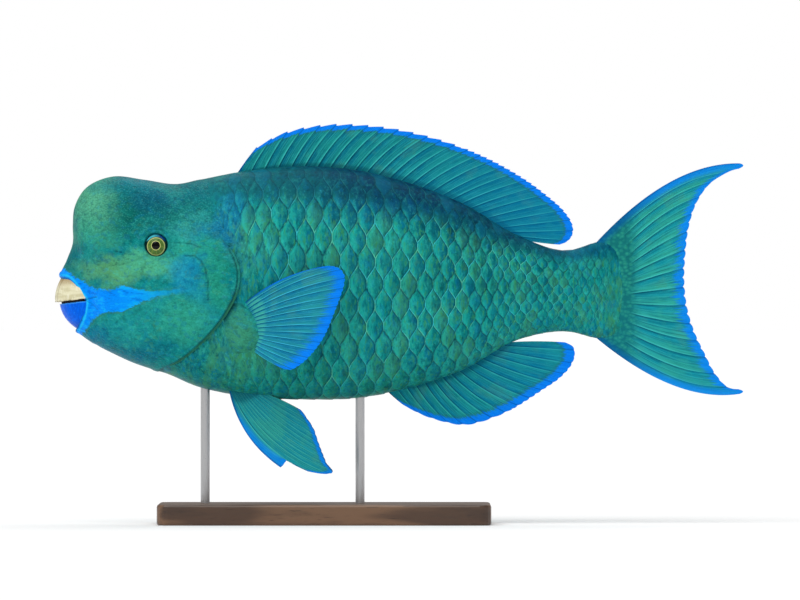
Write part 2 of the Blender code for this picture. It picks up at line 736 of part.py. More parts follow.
def make_fins():
    def middle(point, across, along):
        return 0.0

    make_fin("dorsal_fin", FINS["dorsal_fin"], middle, ["trunk_grown"])
    make_fin("anal_fin", FINS["anal_fin"], middle, ["trunk_grown"])
    for lobe, reach in (("upper", -FAR), ("lower", FAR)):
        start, end = offset_line(TAIL_SPLIT, math.copysign(GAP / 2, reach))
        far = [(x, z + reach) for x, z in (end, start)]
        prism(f"other_lobe_{lobe}", [start, end, *far])
        make_fin(f"caudal_fin_{lobe}", FINS["caudal_fin"], middle,
                 ["tail_grown", f"other_lobe_{lobe}"])
    for side, mirror in (("left", False), ("right", True)):
        make_fin(f"pectoral_fin_{side}", FINS["pectoral_fin"], pectoral_side,
                 ["trunk_grown"], mirror=mirror)
        make_fin(f"pelvic_fin_{side}", FINS["pelvic_fin"], pelvic_side,
                 ["trunk_grown"], pelvic_cleft, mirror)


# Stand


def make_stand():
    """A flat base and two short rods up to the belly."""
    length, width, height = BASE_SIZE
    bpy.ops.mesh.primitive_cube_add(size=1.0, location=place((BASE_CENTRE, 0.0)))
    base = bpy.context.active_object
    base.name = "stand_base"
    base.data.transform(Matrix.Diagonal((length, width, height, 1.0)))
    base.location.z = height / 2
    base.data.materials.append(material("stand_wood"))
    for owner in list(base.users_collection):
        owner.objects.unlink(base)
    fish.objects.link(base)
    bm = bmesh.new()
    bm.from_mesh(base.data)
    uprights = [e for e in bm.edges if abs(e.verts[0].co.z - e.verts[1].co.z) > height / 2]
    bmesh.ops.bevel(bm, geom=uprights, offset=BASE_CORNER, segments=4, affect="EDGES", profile=0.5)
    bm.to_mesh(base.data)
    bm.free()
    edge = base.modifiers.new("edge", "BEVEL")
    edge.width = BASE_EDGE
    edge.segments = 2
    edge.limit_method = "ANGLE"
    edge.angle_limit = math.radians(60)
    foot = height + GAP
    top = AXIS_HEIGHT - ROD_TOP
    for name, behind in RODS.items():
        bm = bmesh.new()
        bmesh.ops.create_cone(
            bm, cap_ends=True, segments=ROD_SIDES, radius1=ROD_RADIUS, radius2=ROD_RADIUS,
            depth=top - foot,
        )
        middle = Vector((behind - LENGTH / 2, 0.0, (top + foot) / 2))
        bm.transform(Matrix.Translation(middle))
        boolean(add_object(name, bm, fish, "stand_metal"), "DIFFERENCE",
                bpy.data.objects["trunk_grown"])


def keep_largest(bm):
    """Leaves only the largest closed surface of a bmesh, where surfaces join along edges."""
    bmesh.ops.remove_doubles(bm, verts=bm.verts, dist=WELD)
    shells = []
    left = set(bm.faces)
    while left:
        edge = [left.pop()]
        shell = set(edge)
        while edge:
            near = {f for face in edge for e in face.edges for f in e.link_faces} & left
            left -= near
            shell |= near
            edge = list(near)
        shells.append(shell)
    shells.sort(key=len)
    scraps = [face for shell in shells[:-1] for face in shell]
    bmesh.ops.delete(bm, geom=scraps, context="FACES")


def settle():
    """Applies every node's modifiers and drops the scraps that its cuts leave."""
    graph = bpy.context.evaluated_depsgraph_get()
    finished = []
    for node in fish.objects:
        mesh = bpy.data.meshes.new_from_object(node.evaluated_get(graph))
        bm = bmesh.new()
        bm.from_mesh(mesh)
        keep_largest(bm)
        bm.to_mesh(mesh)
        bm.free()
        mesh.shade_smooth()
        mesh.set_sharp_from_angle(angle=SHARP)
        finished.append((node, mesh))
    for node, mesh in finished:
        node.modifiers.clear()
        node.data = mesh


clear_scene()
fish = new_collection("parrotfish")
cutters = new_collection("cutters")
whole = loft(list(np.linspace(0.0, RIB_KNOTS[-1], SMOOTH_RINGS)), SMOOTH_ROWS)
smooth_body = BVHTree.FromBMesh(whole)
whole.free()
make_head()
make_trunk()
make_fins()
make_stand()
settle()
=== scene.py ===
# %% [markdown]
# # A steephead parrotfish on a display stand
#
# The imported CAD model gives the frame: where the head, trunk, fins, eyes, beak and stand are.
# This lesson dresses it. One skin goes round the whole fish, thin scales are laid over the skin,
# the fins are made again with fine rays, and each surface gets a painted, procedural material.

# %% Load the frame
import math
from collections import namedtuple

import bpy
import numpy as np
from mathutils import Matrix, Vector


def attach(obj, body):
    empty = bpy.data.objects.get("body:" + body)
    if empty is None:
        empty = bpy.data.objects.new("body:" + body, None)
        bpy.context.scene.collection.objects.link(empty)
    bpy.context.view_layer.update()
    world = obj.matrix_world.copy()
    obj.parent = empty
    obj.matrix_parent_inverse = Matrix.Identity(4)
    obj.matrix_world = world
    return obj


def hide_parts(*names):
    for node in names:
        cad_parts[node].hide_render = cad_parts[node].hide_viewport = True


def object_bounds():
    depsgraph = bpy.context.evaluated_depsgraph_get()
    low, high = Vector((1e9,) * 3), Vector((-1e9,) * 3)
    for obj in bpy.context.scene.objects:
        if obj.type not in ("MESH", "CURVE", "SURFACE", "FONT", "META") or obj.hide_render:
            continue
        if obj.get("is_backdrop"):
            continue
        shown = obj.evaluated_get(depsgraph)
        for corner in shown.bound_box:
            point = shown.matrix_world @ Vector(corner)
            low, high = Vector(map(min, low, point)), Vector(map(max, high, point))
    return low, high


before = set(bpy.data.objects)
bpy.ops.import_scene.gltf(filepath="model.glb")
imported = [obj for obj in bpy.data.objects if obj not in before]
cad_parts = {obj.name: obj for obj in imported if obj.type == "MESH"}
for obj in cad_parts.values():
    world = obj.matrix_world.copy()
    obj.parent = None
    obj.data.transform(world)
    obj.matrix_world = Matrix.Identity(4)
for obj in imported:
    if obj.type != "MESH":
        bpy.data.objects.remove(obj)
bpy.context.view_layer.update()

# %% [markdown]
# ## The side view
#
# A fish is drawn from the side first. Here a side-view point is (distance behind the beak's tip,
# height above the body's long axis), both in metres. The picture is 0.872 mm to a pixel, so a
# marking that was measured on it can be placed with one small function.

# %% Side-view helpers
LENGTH = 0.600
AXIS_HEIGHT = 0.204
PIXEL = 0.000872
BEAK_COLUMN = 55
FLOOR_ROW = 524
MM = 0.001


def seen(x, y):
    """The side-view point at a pixel of the picture."""
    return (x - BEAK_COLUMN) * PIXEL, (FLOOR_ROW - y) * PIXEL - AXIS_HEIGHT


def seen_line(*pixels):
    return [seen(x, y) for x, y in pixels]


def in_frame(d, h, y=0.0):
    """A side-view point in the model's own frame, y off its middle plane."""
    return d - LENGTH / 2, y, h + AXIS_HEIGHT


def seen_x(column):
    """The model's X at a pixel column of the picture."""
    return in_frame(*seen(column, 0))[0]


def ramp(value, low, high):
    """Eases from 0 at low to 1 at high."""
    s = np.clip((value - low) / (high - low), 0.0, 1.0)
    return s * s * (3 - 2 * s)


def bell(offset, reach):
    """1 where the offset is 0, about a third at the reach, and nearly 0 at twice the reach."""
    return np.exp(-((offset / reach) ** 2))


def hermite(knots, rows, at):
    """Cubic interpolation of table rows at many knot values."""
    knots, rows, at = np.asarray(knots, float), np.asarray(rows, float), np.asarray(at, float)
    slopes = np.gradient(rows, knots, axis=0)
    i = np.clip(np.searchsorted(knots, at) - 1, 0, len(knots) - 2)
    width = (knots[i + 1] - knots[i])[:, None]
    s = (at - knots[i])[:, None] / width
    return (
        (2 * s**3 - 3 * s**2 + 1) * rows[i] + (s**3 - 2 * s**2 + s) * width * slopes[i]
        + (3 * s**2 - 2 * s**3) * rows[i + 1] + (s**3 - s**2) * width * slopes[i + 1]
    )


def spline(points, shares):
    """A smooth curve through the points, at shares of its length from 0 to 1."""
    rows = np.array(points, float)
    knots = np.concatenate([[0.0], np.cumsum(np.linalg.norm(np.diff(rows, axis=0), axis=1))])
    return hermite(knots, rows, np.asarray(shares) * knots[-1])


def gap_to(d, h, line):
    """Distance from side-view places to a line of points."""
    best = np.full(np.shape(d), np.inf)
    for (x0, z0), (x1, z1) in zip(line, line[1:]):
        dx, dz = x1 - x0, z1 - z0
        share = np.clip(((d - x0) * dx + (h - z0) * dz) / (dx * dx + dz * dz), 0, 1)
        best = np.minimum(best, np.hypot(d - x0 - share * dx, h - z0 - share * dz))
    return best


def depth_in(d, h, outline):
    """Distance inside a closed outline, negative outside it."""
    hit = np.zeros(np.shape(d), bool)
    ring = [*outline, outline[0]]
    for (x0, z0), (x1, z1) in zip(ring, ring[1:]):
        if z0 != z1:
            hit ^= ((z0 > h) != (z1 > h)) & (d < x0 + (h - z0) / (z1 - z0) * (x1 - x0))
    away = gap_to(d, h, ring)
    return np.where(hit, away, -away)


print("one pixel is", PIXEL / MM, "mm")

# %% [markdown]
# ## The body as a stack of ribs
#
# The CAD body is lofted through ribs that fan round the steep forehead. The same table is
# repeated here, because the skin has to follow the same form. The first rib lies inside the
# mouth, so that the skin can start exactly on the mouth's edge. From the table comes one dense
# map of the body: a station along it and a share of the girth, 0 at the back and 1 at the belly.

# %% The ribs and the body map
RIBS = np.array([
    # top d, top h, bottom d, bottom h, half width, widest, crown, keel, sweep
    [0.0066, 0.0062, 0.0170, -0.0270, 0.0135, 0.48, 0.80, 0.80, 0.0092],
    [0.0055, 0.0130, 0.0150, -0.0328, 0.0150, 0.48, 0.80, 0.80, 0.0090],
    [0.0105, 0.0250, 0.0225, -0.0382, 0.0185, 0.46, 0.78, 0.80, 0.0085],
    [0.0155, 0.0390, 0.0300, -0.0436, 0.0222, 0.42, 0.75, 0.80, 0.0080],
    [0.0155, 0.0560, 0.0400, -0.0500, 0.0268, 0.40, 0.72, 0.80, 0.0075],
    [0.0170, 0.0720, 0.0520, -0.0560, 0.0310, 0.40, 0.70, 0.80, 0.0070],
    [0.0270, 0.0890, 0.0660, -0.0625, 0.0345, 0.42, 0.70, 0.80, 0.0055],
    [0.0500, 0.0990, 0.0820, -0.0682, 0.0378, 0.43, 0.70, 0.80, 0.0035],
    [0.0780, 0.0962, 0.0980, -0.0732, 0.0405, 0.44, 0.76, 0.80, 0.0015],
    [0.1050, 0.0925, 0.1160, -0.0808, 0.0425, 0.46, 0.86, 0.80, 0.0],
    [0.1350, 0.0990, 0.1400, -0.0870, 0.0445, 0.47, 0.92, 0.80, 0.0],
    [0.1650, 0.1045, 0.1680, -0.0918, 0.0455, 0.48, 0.94, 0.80, 0.0],
    [0.2150, 0.1090, 0.2150, -0.0940, 0.0450, 0.49, 0.94, 0.82, 0.0],
    [0.2650, 0.1052, 0.2650, -0.0927, 0.0415, 0.49, 0.94, 0.86, 0.0],
    [0.3080, 0.0946, 0.3080, -0.0845, 0.0360, 0.49, 0.94, 0.90, 0.0],
    [0.3570, 0.0758, 0.3570, -0.0685, 0.0280, 0.50, 0.92, 0.92, 0.0],
    [0.4030, 0.0490, 0.4030, -0.0435, 0.0200, 0.50, 0.88, 0.88, 0.0],
    [0.4450, 0.0353, 0.4450, -0.0360, 0.0135, 0.50, 0.84, 0.84, 0.0],
    [0.4800, 0.0430, 0.4800, -0.0420, 0.0080, 0.50, 0.80, 0.80, 0.0],
    [0.4990, 0.0360, 0.4990, -0.0350, 0.0028, 0.50, 0.70, 0.70, 0.0],
])
STATIONS = 700
GIRTHS = 240
steps = (np.linalg.norm(np.diff(RIBS[:, 0:2], axis=0), axis=1)
         + np.linalg.norm(np.diff(RIBS[:, 2:4], axis=0), axis=1)) / 2
RIB_KNOTS = np.concatenate([[0.0], np.cumsum(steps)])
END = RIB_KNOTS[-1]


def rib_points(rib):
    """The left half of a rib, from the back to the belly, in steps of equal girth."""
    top, low = rib[0:2], rib[2:4]
    half_width, widest, crown, keel, sweep = rib[4:]
    middle = low + widest * (top - low)
    angle = np.linspace(0, math.pi, GIRTHS + 1)[:, None]
    upper = angle <= math.pi / 2
    flat = middle + (np.where(upper, top, low) - middle) * np.abs(np.cos(angle))
    side = np.maximum(0.0, np.sin(angle)) ** np.where(upper, crown, keel)
    points = np.hstack([flat[:, :1] + sweep * side**2, -half_width * side, flat[:, 1:]])
    girth = np.concatenate([[0.0], np.cumsum(np.linalg.norm(np.diff(points, axis=0), axis=1))])
    wanted = np.linspace(0, girth[-1], GIRTHS + 1)
    even = np.stack([np.interp(wanted, girth, points[:, k]) for k in range(3)], axis=1)
    return even - (LENGTH / 2, 0.0, -AXIS_HEIGHT), girth[-1]


ribs = [rib_points(rib) for rib in hermite(RIB_KNOTS, RIBS, np.linspace(0, END, STATIONS))]
BODY = np.array([points for points, _ in ribs])
HALF_GIRTH = np.array([girth for _, girth in ribs])


def unit(vectors):
    return vectors / np.maximum(np.linalg.norm(vectors, axis=-1, keepdims=True), 1e-12)


BACKWARD = unit(np.gradient(BODY, axis=0))
DOWNWARD = unit(np.gradient(BODY, axis=1))
OUTWARD = np.cross(DOWNWARD, BACKWARD)
OUTWARD[:, [0, -1], 1] = 0.0
OUTWARD = unit(OUTWARD)


def look_up(table, station, girth):
    """A value of a body map. A girth share past 0 or 1 goes on over the midline."""
    over = (girth < 0) | (girth > 1)
    girth = np.where(girth < 0, -girth, np.where(girth > 1, 2 - girth, girth))
    a = np.clip(station / END, 0, 1) * (STATIONS - 1)
    b = np.clip(girth, 0, 1) * GIRTHS
    i = np.minimum(a.astype(int), STATIONS - 2)
    j = np.minimum(b.astype(int), GIRTHS - 1)
    p, q = (a - i)[..., None], (b - j)[..., None]
    found = (
        table[i, j] * (1 - p) * (1 - q) + table[i + 1, j] * p * (1 - q)
        + table[i, j + 1] * (1 - p) * q + table[i + 1, j + 1] * p * q
    )
    found[..., 1] *= np.where(over, -1.0, 1.0)
    return found


def side_view(points):
    return points[..., 0] + LENGTH / 2, points[..., 2] - AXIS_HEIGHT


GIRTH_STEP = 0.005


def find(d, h):
    """Station and girth share of the flank's point that is seen at a side-view point."""
    far = np.hypot(*(a - b for a, b in zip(side_view(BODY), (d, h))))
    i, j = np.unravel_index(np.argmin(far), far.shape)
    station, girth = np.array(i / (STATIONS - 1) * END), np.array(j / GIRTHS)
    for _ in range(3):
        here = np.array(side_view(look_up(BODY, station, girth)))
        ahead = np.array(side_view(look_up(BODY, station + MM, girth)))
        below = np.array(side_view(look_up(BODY, station, girth + GIRTH_STEP)))
        turn = np.stack([ahead - here, below - here], axis=1)
        move = np.linalg.solve(turn, np.array([d, h]) - here)
        station, girth = station + move[0] * MM, girth + move[1] * GIRTH_STEP
    return station, girth


print("body map:", BODY.shape, "widest half girth", round(HALF_GIRTH.max(), 3), "m")

# %% [markdown]
# ## The camera
#
# The picture is a flat side view. A very long lens, level with the fish and far from it, draws
# it nearly without perspective, so that near and far parts keep their places. The distance is
# worked out from the frame's width, which makes the fish as large as in the picture.

# %% Camera
PICTURE = (800, 600)
LENS = 500
SENSOR = 36

frame_width = PICTURE[0] * PIXEL
camera_data = bpy.data.cameras.new("camera")
camera_data.lens = LENS
camera_data.sensor_width = SENSOR
camera = bpy.data.objects.new("camera", camera_data)
bpy.context.collection.objects.link(camera)
camera.location = in_frame(*seen(PICTURE[0] / 2, PICTURE[1] / 2), -frame_width * LENS / SENSOR)
camera.rotation_euler = (math.pi / 2, 0, 0)
bpy.context.scene.camera = camera
bpy.context.scene.view_settings.view_transform = "Standard"
print("camera stands", round(-camera.location.y, 3), "m from the fish")

# %% [markdown]
# ## A small language for materials
#
# Shader nodes are easier to read as sums. A Signal wraps one socket and turns Python's operators
# into Math nodes, and a Finish is one material whose node method makes everything else.

# %% Signals and finishes


class Signal:
    """A number that varies over a surface, as an output socket of a material's nodes."""

    def __init__(self, finish, socket):
        self.finish = finish
        self.socket = socket

    def math(self, operation, *values):
        return self.finish.node("ShaderNodeMath", {"operation": operation},
                                dict(enumerate(values)))

    def __add__(self, other):
        return self.math("ADD", self, other)

    def __sub__(self, other):
        return self.math("SUBTRACT", self, other)

    def __rsub__(self, other):
        return self.math("SUBTRACT", other, self)

    def __mul__(self, other):
        return self.math("MULTIPLY", self, other)

    def __truediv__(self, other):
        return self.math("DIVIDE", self, other)

    def __pow__(self, other):
        return self.math("POWER", self, other)

    def __abs__(self):
        return self.math("ABSOLUTE", self)

    __radd__ = __add__
    __rmul__ = __mul__

    def least(self, other):
        return self.math("MINIMUM", self, other)

    def most(self, other):
        return self.math("MAXIMUM", self, other)

    def fraction(self):
        return self.math("FRACT", self)

    def ease(self, low, high):
        """0 below low, 1 above high and smooth between them. low may be above high."""
        return self.finish.node(
            "ShaderNodeMapRange", {"interpolation_type": "SMOOTHSTEP"},
            {"Value": self, "From Min": min(low, high), "From Max": max(low, high),
             "To Min": float(low > high), "To Max": float(low <= high)},
        )


class Finish:
    """A material: a Principled shader and the nodes that feed it."""

    def __init__(self, name, **constants):
        self.material = bpy.data.materials.new(name)
        self.material.use_nodes = True
        self.tree = self.material.node_tree
        self.shader = self.tree.nodes["Principled BSDF"]
        self.known = {}
        for socket, value in constants.items():
            self.shader.inputs[socket.replace("_", " ")].default_value = value

    def plug(self, socket, value):
        if isinstance(value, Signal):
            self.tree.links.new(value.socket, socket)
        elif socket.type == "RGBA":
            socket.default_value = (*value[:3], 1.0)
        else:
            socket.default_value = value

    def node(self, kind, settings=None, sockets=None, out=0):
        """A new node: its settings, then the values or links of its sockets."""
        made = self.tree.nodes.new(kind)
        for name, value in (settings or {}).items():
            setattr(made, name, value)
        for name, value in (sockets or {}).items():
            self.plug(made.inputs[name], value)
        return Signal(self, made.outputs[out])

    def once(self, key, make):
        """A node that is made the first time and shared after that."""
        if key not in self.known:
            self.known[key] = make()
        return self.known[key]

    def place(self):
        return self.once("place", lambda: self.node("ShaderNodeTexCoord", out="Object"))

    def part(self, vector, name):
        """One number of a vector: X, Y or Z."""
        return self.node("ShaderNodeSeparateXYZ", sockets={0: vector}, out=name)

    def axis(self, name):
        return self.once(name, lambda: self.part(self.place(), name))

    def attribute(self, name, out="Fac"):
        return self.once(name + out, lambda: self.node(
            "ShaderNodeAttribute", {"attribute_name": name}, out=out))

    def stretched(self, vector, scale):
        return self.node("ShaderNodeVectorMath", {"operation": "MULTIPLY"}, {0: vector, 1: scale})

    def noise(self, scale, detail=3.0, roughness=0.55, vector=None, stretch=None):
        vector = vector or self.place()
        if stretch:
            vector = self.stretched(vector, stretch)
        return self.node("ShaderNodeTexNoise", sockets={
            "Vector": vector, "Scale": scale, "Detail": detail, "Roughness": roughness})

    def cells(self, scale, vector, out="Distance"):
        return self.node("ShaderNodeTexVoronoi", sockets={"Vector": vector, "Scale": scale},
                         out=out)

    def mix(self, first, second, factor):
        return self.node("ShaderNodeMix", {"data_type": "RGBA"},
                         {0: factor, 6: first, 7: second}, out=2)

    def paint(self, colour, *coats):
        """Lays coats over a colour. Each coat is a tone and how much of it shows."""
        for tone, amount in coats:
            colour = self.mix(colour, tone, amount)
        return colour

    def feed(self, socket, value):
        self.plug(self.shader.inputs[socket], value)

    def bump(self, height, distance, strength=1.0):
        self.feed("Normal", self.node("ShaderNodeBump", sockets={
            "Strength": strength, "Distance": distance, "Height": height}))


print("materials are written as sums of signals")

# %% [markdown]
# ## The stage
#
# The fish is shown on white, in light that comes from all round it. Two very soft suns light a
# wide floor evenly out to the horizon, where it melts into the white world.
# The lens sees that world at full strength, while the fish is lit by a dimmer one, because the
# reflection of a white room would wash out its deep colours.

# %% Floor, world and suns
FLOOR_SIZE = 120.0
ROOM_LIGHT = 0.30
SUNS = [
    # name, direction it shines from, strength
    ("front_sun", (-0.35, -0.62, 1.0), 2.05),
    ("rear_sun", (0.30, 0.50, 1.0), 1.00),
]
SUN_SOFTNESS = math.radians(55)

bpy.ops.object.select_all(action="DESELECT")
bpy.ops.mesh.primitive_plane_add(size=FLOOR_SIZE)
floor = bpy.context.active_object
floor.name = "floor"
floor_finish = Finish("floor_paper", Roughness=1.0, Specular_IOR_Level=0.0)
floor_finish.feed("Base Color", floor_finish.mix(
    (0.940, 0.940, 0.940), (0.955, 0.955, 0.955), floor_finish.noise(3.0)))
floor.data.materials.append(floor_finish.material)
floor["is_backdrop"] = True

world = bpy.data.worlds.new("studio")
world.use_nodes = True
nodes, links = world.node_tree.nodes, world.node_tree.links
ray = nodes.new("ShaderNodeLightPath")
brightness = nodes.new("ShaderNodeMapRange")
brightness.inputs["To Min"].default_value = ROOM_LIGHT
brightness.inputs["To Max"].default_value = 1.0
links.new(ray.outputs["Is Camera Ray"], brightness.inputs["Value"])
links.new(brightness.outputs["Result"], nodes["Background"].inputs["Strength"])
nodes["Background"].inputs["Color"].default_value = (1, 1, 1, 1)
bpy.context.scene.world = world
for name, source, power in SUNS:
    sun_data = bpy.data.lights.new(name, "SUN")
    sun_data.energy = power
    sun_data.angle = SUN_SOFTNESS
    sun = bpy.data.objects.new(name, sun_data)
    bpy.context.collection.objects.link(sun)
    sun.rotation_euler = (-Vector(source)).to_track_quat("-Z", "Y").to_euler()
print(len(SUNS), "suns over a floor", FLOOR_SIZE, "m wide")

# %% [markdown]
# ## Making a surface from a grid
#
# The skin and every fin start as a grid primitive. Its points are moved to places worked out
# beforehand, as a net is pulled over a form. Values such as the share of the girth are kept on
# the points as attributes, for the materials to read.

# %% Grid helpers


def only(piece):
    """Makes one object the only selected and active one."""
    bpy.ops.object.select_all(action="DESELECT")
    piece.select_set(True)
    bpy.context.view_layer.objects.active = piece


def apply(piece, kind, **settings):
    """Adds a modifier with its settings and applies it."""
    only(piece)
    step = piece.modifiers.new(kind.lower(), kind)
    for name, value in settings.items():
        setattr(step, name, value)
    bpy.ops.object.modifier_apply(modifier=step.name)


def net(name, places):
    """A grid primitive with its point (i, j) at places[i, j], and the i and j of each point."""
    bpy.ops.object.select_all(action="DESELECT")
    columns, rows = places.shape[0] - 1, places.shape[1] - 1
    bpy.ops.mesh.primitive_grid_add(x_subdivisions=columns, y_subdivisions=rows, size=1)
    made = bpy.context.active_object
    made.name = made.data.name = name
    flat = np.empty(len(made.data.vertices) * 3)
    made.data.vertices.foreach_get("co", flat)
    i = np.rint((flat[0::3] + 0.5) * columns).astype(int)
    j = np.rint((flat[1::3] + 0.5) * rows).astype(int)
    made.data.vertices.foreach_set("co", places[i, j].ravel())
    return made, i, j


def keep_value(piece, name, values):
    """Stores a number for each point."""
    layer = piece.data.attributes.new(name, "FLOAT", "POINT")
    layer.data.foreach_set("value", np.asarray(values, np.float32).ravel())


def keep_map(piece, name, pairs):
    """Stores a UV map, from one pair of numbers for each point."""
    corners = np.empty(len(piece.data.loops), int)
    piece.data.loops.foreach_get("vertex_index", corners)
    layer = piece.data.uv_layers.get(name) or piece.data.uv_layers.new(name=name)
    layer.data.foreach_set("uv", np.asarray(pairs, np.float32)[corners].ravel())


def tidy(piece, angle, merge):
    """Merges doubles, turns the faces outward and shades the piece smooth up to an angle."""
    only(piece)
    bpy.ops.object.mode_set(mode="EDIT")
    bpy.ops.mesh.select_all(action="SELECT")
    bpy.ops.mesh.remove_doubles(threshold=merge)
    bpy.ops.mesh.normals_make_consistent(inside=False)
    bpy.ops.object.mode_set(mode="OBJECT")
    bpy.ops.object.shade_smooth_by_angle(angle=math.radians(angle))


def finish_piece(piece, material, slot, *nodes):
    """Gives a piece its material and its place on the frame. The slot is not used."""
    piece.data.materials.clear()
    piece.data.materials.append(material)
    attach(piece, "root")
    if nodes:
        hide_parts(*nodes)
    print(piece.name, len(piece.data.polygons), "faces")


print("grid helpers are ready")

# %% [markdown]
# ## Where the skin starts and where the gill cover ends
#
# Rows of the net run from the mouth's edge to the tail. Each row is cut at two lines: the edge of
# the mouth, where the lips turn in, and the free edge of the gill cover. Points then sit exactly
# on both lines, which gives crisp edges without a finer mesh. Rows and rings are set closer
# round the eye.

# %% The two lines and the spacing of the net
MOUTH = [
    *spline([(0.0070, 0.0105), (0.0116, 0.0098), (0.0183, 0.0040), (0.0235, -0.0040),
             (0.0270, -0.0082)], np.linspace(0, 1, 24)),
    *spline([(0.0270, -0.0082), (0.0272, -0.0120), (0.0256, -0.0205), (0.0216, -0.0295),
             (0.0185, -0.0345)], np.linspace(0, 1, 24))[1:],
]
MOUTH = [tuple(point) for point in MOUTH]
MOUTH_OUTLINE = [(-0.02, MOUTH[0][1]), *MOUTH, (MOUTH[-1][0], -0.06), (-0.02, -0.06)]
COVER_EDGE = spline([
    (0.118, 0.115), (0.124, 0.085), (0.137, 0.055), (0.1515, 0.036), (0.1590, 0.016),
    (0.1570, -0.002), (0.1490, -0.0185), (0.1380, -0.0335), (0.1240, -0.0480),
    (0.1075, -0.0610), (0.0900, -0.0705), (0.0800, -0.0850),
], np.linspace(0, 1, 90))
EYE = (0.0890, 0.0392)
SKIN_ROWS = 190
HEAD_RINGS = 148
TRUNK_RINGS = 52

eye_station, eye_girth = find(*EYE)


def cover_d(h):
    """How far back the cover's edge lies at a height."""
    return np.interp(h, COVER_EDGE[::-1, 1], COVER_EDGE[::-1, 0])


def crossing(values):
    """The first place along each row where values turns from below 0 to above it."""
    after = np.argmax(values > 0, axis=0)
    rows = np.arange(values.shape[1])
    before = np.maximum(after - 1, 0)
    low, high = values[before, rows], values[after, rows]
    share = np.where(after > 0, -low / np.maximum(high - low, 1e-9), 0.0)
    return (before + np.clip(share, 0, 1)) / (STATIONS - 1) * END


def spaced(count, *dense):
    """Shares from 0 to 1 that stand closer round each (centre, reach, factor)."""
    fine = np.linspace(0, 1, 2000)
    weight = np.ones_like(fine)
    for centre, reach, factor in dense:
        weight += factor * bell(fine - centre, reach)
    total = np.concatenate([[0.0], np.cumsum((weight[1:] + weight[:-1]) / 2)])
    return np.interp(np.linspace(0, 1, count + 1), total / total[-1], fine)


body_d, body_h = side_view(BODY)
mouth_at = crossing(-depth_in(body_d, body_h, MOUTH_OUTLINE))
cover_at = crossing(body_d - cover_d(body_h))
girths = spaced(SKIN_ROWS, (float(eye_girth), 0.075, 1.3), (0.5, 0.08, 0.5))
shares = np.linspace(0, 1, GIRTHS + 1)
mouth_at = np.interp(girths, shares, mouth_at)
cover_at = np.interp(girths, shares, cover_at)
eye_share = (eye_station - np.interp(eye_girth, girths, mouth_at)) / (
    np.interp(eye_girth, girths, cover_at) - np.interp(eye_girth, girths, mouth_at))
print("eye at", round(float(eye_share), 2), "of the way from the mouth to the cover's edge")

# %% [markdown]
# ## The forms of the head
#
# A head is a smooth form with small ones added: lips, the rim of the eye socket, nostrils, the
# raised gill cover, and creases where the cheek bones lie under the skin. Each is a height that
# is added along the surface's own normal, and each fades out, so no seam shows.

# %% Heights added to the skin
COAT = 1.0 * MM
FLARE = 2.2 * MM
COVER_RISE = 0.7 * MM
LOBE_RISE = 2.2 * MM
KEEL_RISE = 1.3 * MM
COVER_FRONT = seen_line((196, 250), (205, 262), (209, 279), (209, 295), (202, 322), (188, 342),
                        (168, 358))
CREASES = [
    # line, width and depth in mm
    (seen_line((186, 256), (195, 256), (202, 261), (207, 270), (209, 281), (209, 302)), 1.2, 0.75),
    (seen_line((170, 243), (180, 243), (192, 244), (203, 249)), 1.0, 0.45),
    (seen_line((147, 256), (138, 260), (126, 264), (112, 266)), 0.9, 0.40),
    (seen_line((86, 300), (90, 298.5), (97, 297)), 1.0, 0.55),
    (seen_line((88, 301), (93, 304), (98, 309)), 0.8, 0.30),
    (seen_line((91, 288), (97, 291), (110, 292), (124, 289)), 0.7, 0.22),
    (seen_line((86, 331), (94, 322), (101, 316), (116, 313)), 0.7, 0.22),
    (seen_line((214, 222), (222, 234), (226, 246)), 1.3, 0.35),
]
NOSTRILS = [seen(117.5, 251.6), seen(122.0, 252.3)]
LOBE = seen_line((226, 322), (231, 309), (241, 304), (250, 311), (257, 323), (259, 336), (256, 347),
                 (246, 353), (235, 351), (228, 340))
LIP_WIDTH = 6.2
LIP_HEIGHT = 1.5
EYE_RADIUS = 9.8 * MM
EYE_DEPTH = 6.4 * MM
EYE_SUNK = 3.2 * MM
SOCKET_DEPTH = 5.5 * MM
EYE_RINGS = [
    # height, radius and width in mm of the rings of skin round the eye
    (1.0, 11.4, 1.3),
    (0.35, 15.0, 1.2),
    (-0.25, 13.2, 0.9),
]
STATION_LINE = np.linspace(0, END, STATIONS)
MEAN_D = (body_d[:, 0] + body_d[:, -1]) / 2

eye_place = look_up(BODY, eye_station, eye_girth)
eye_normal = look_up(OUTWARD, eye_station, eye_girth)


def head_height(points, along_lip):
    """Height in metres that the head's forms add, and the distance from the eye in mm."""
    d, h = side_view(points)
    height = FLARE * ramp(d, 0.105, 0.155) * (1 - ramp(h, 0.020, 0.060))
    plate = ramp(-depth_in(d, h, [*COVER_FRONT, (0.05, -0.09), (0.02, 0.0), (0.11, 0.10)]),
                 -0.5 * MM, 2.5 * MM)
    height += COVER_RISE * plate * (1 - ramp(h, 0.030, 0.050))
    lip = np.clip(along_lip / (LIP_WIDTH * MM), 0, 1)
    height += (LIP_HEIGHT * MM * np.sin(math.pi * lip) ** 0.8 * (1 - 0.25 * lip)
               * (1 - 0.95 * ramp(-h, 0.012, 0.030)))
    for line, width, depth in CREASES:
        height -= depth * MM * bell(gap_to(d, h, line), width * MM)
    from_eye = points - eye_place
    axial = from_eye @ eye_normal
    from_axis = np.linalg.norm(from_eye - axial[..., None] * eye_normal, axis=-1) / MM
    for tall, radius, width in EYE_RINGS:
        height += tall * MM * bell(from_axis - radius, width)
    height -= SOCKET_DEPTH * (1 - ramp(from_axis, 8.8, 10.3))
    for place in NOSTRILS:
        away = np.hypot(d - place[0], h - place[1]) / MM
        height += MM * (0.22 * bell(away - 1.7, 0.5) - 1.3 * bell(away, 0.95))
    return height, from_axis


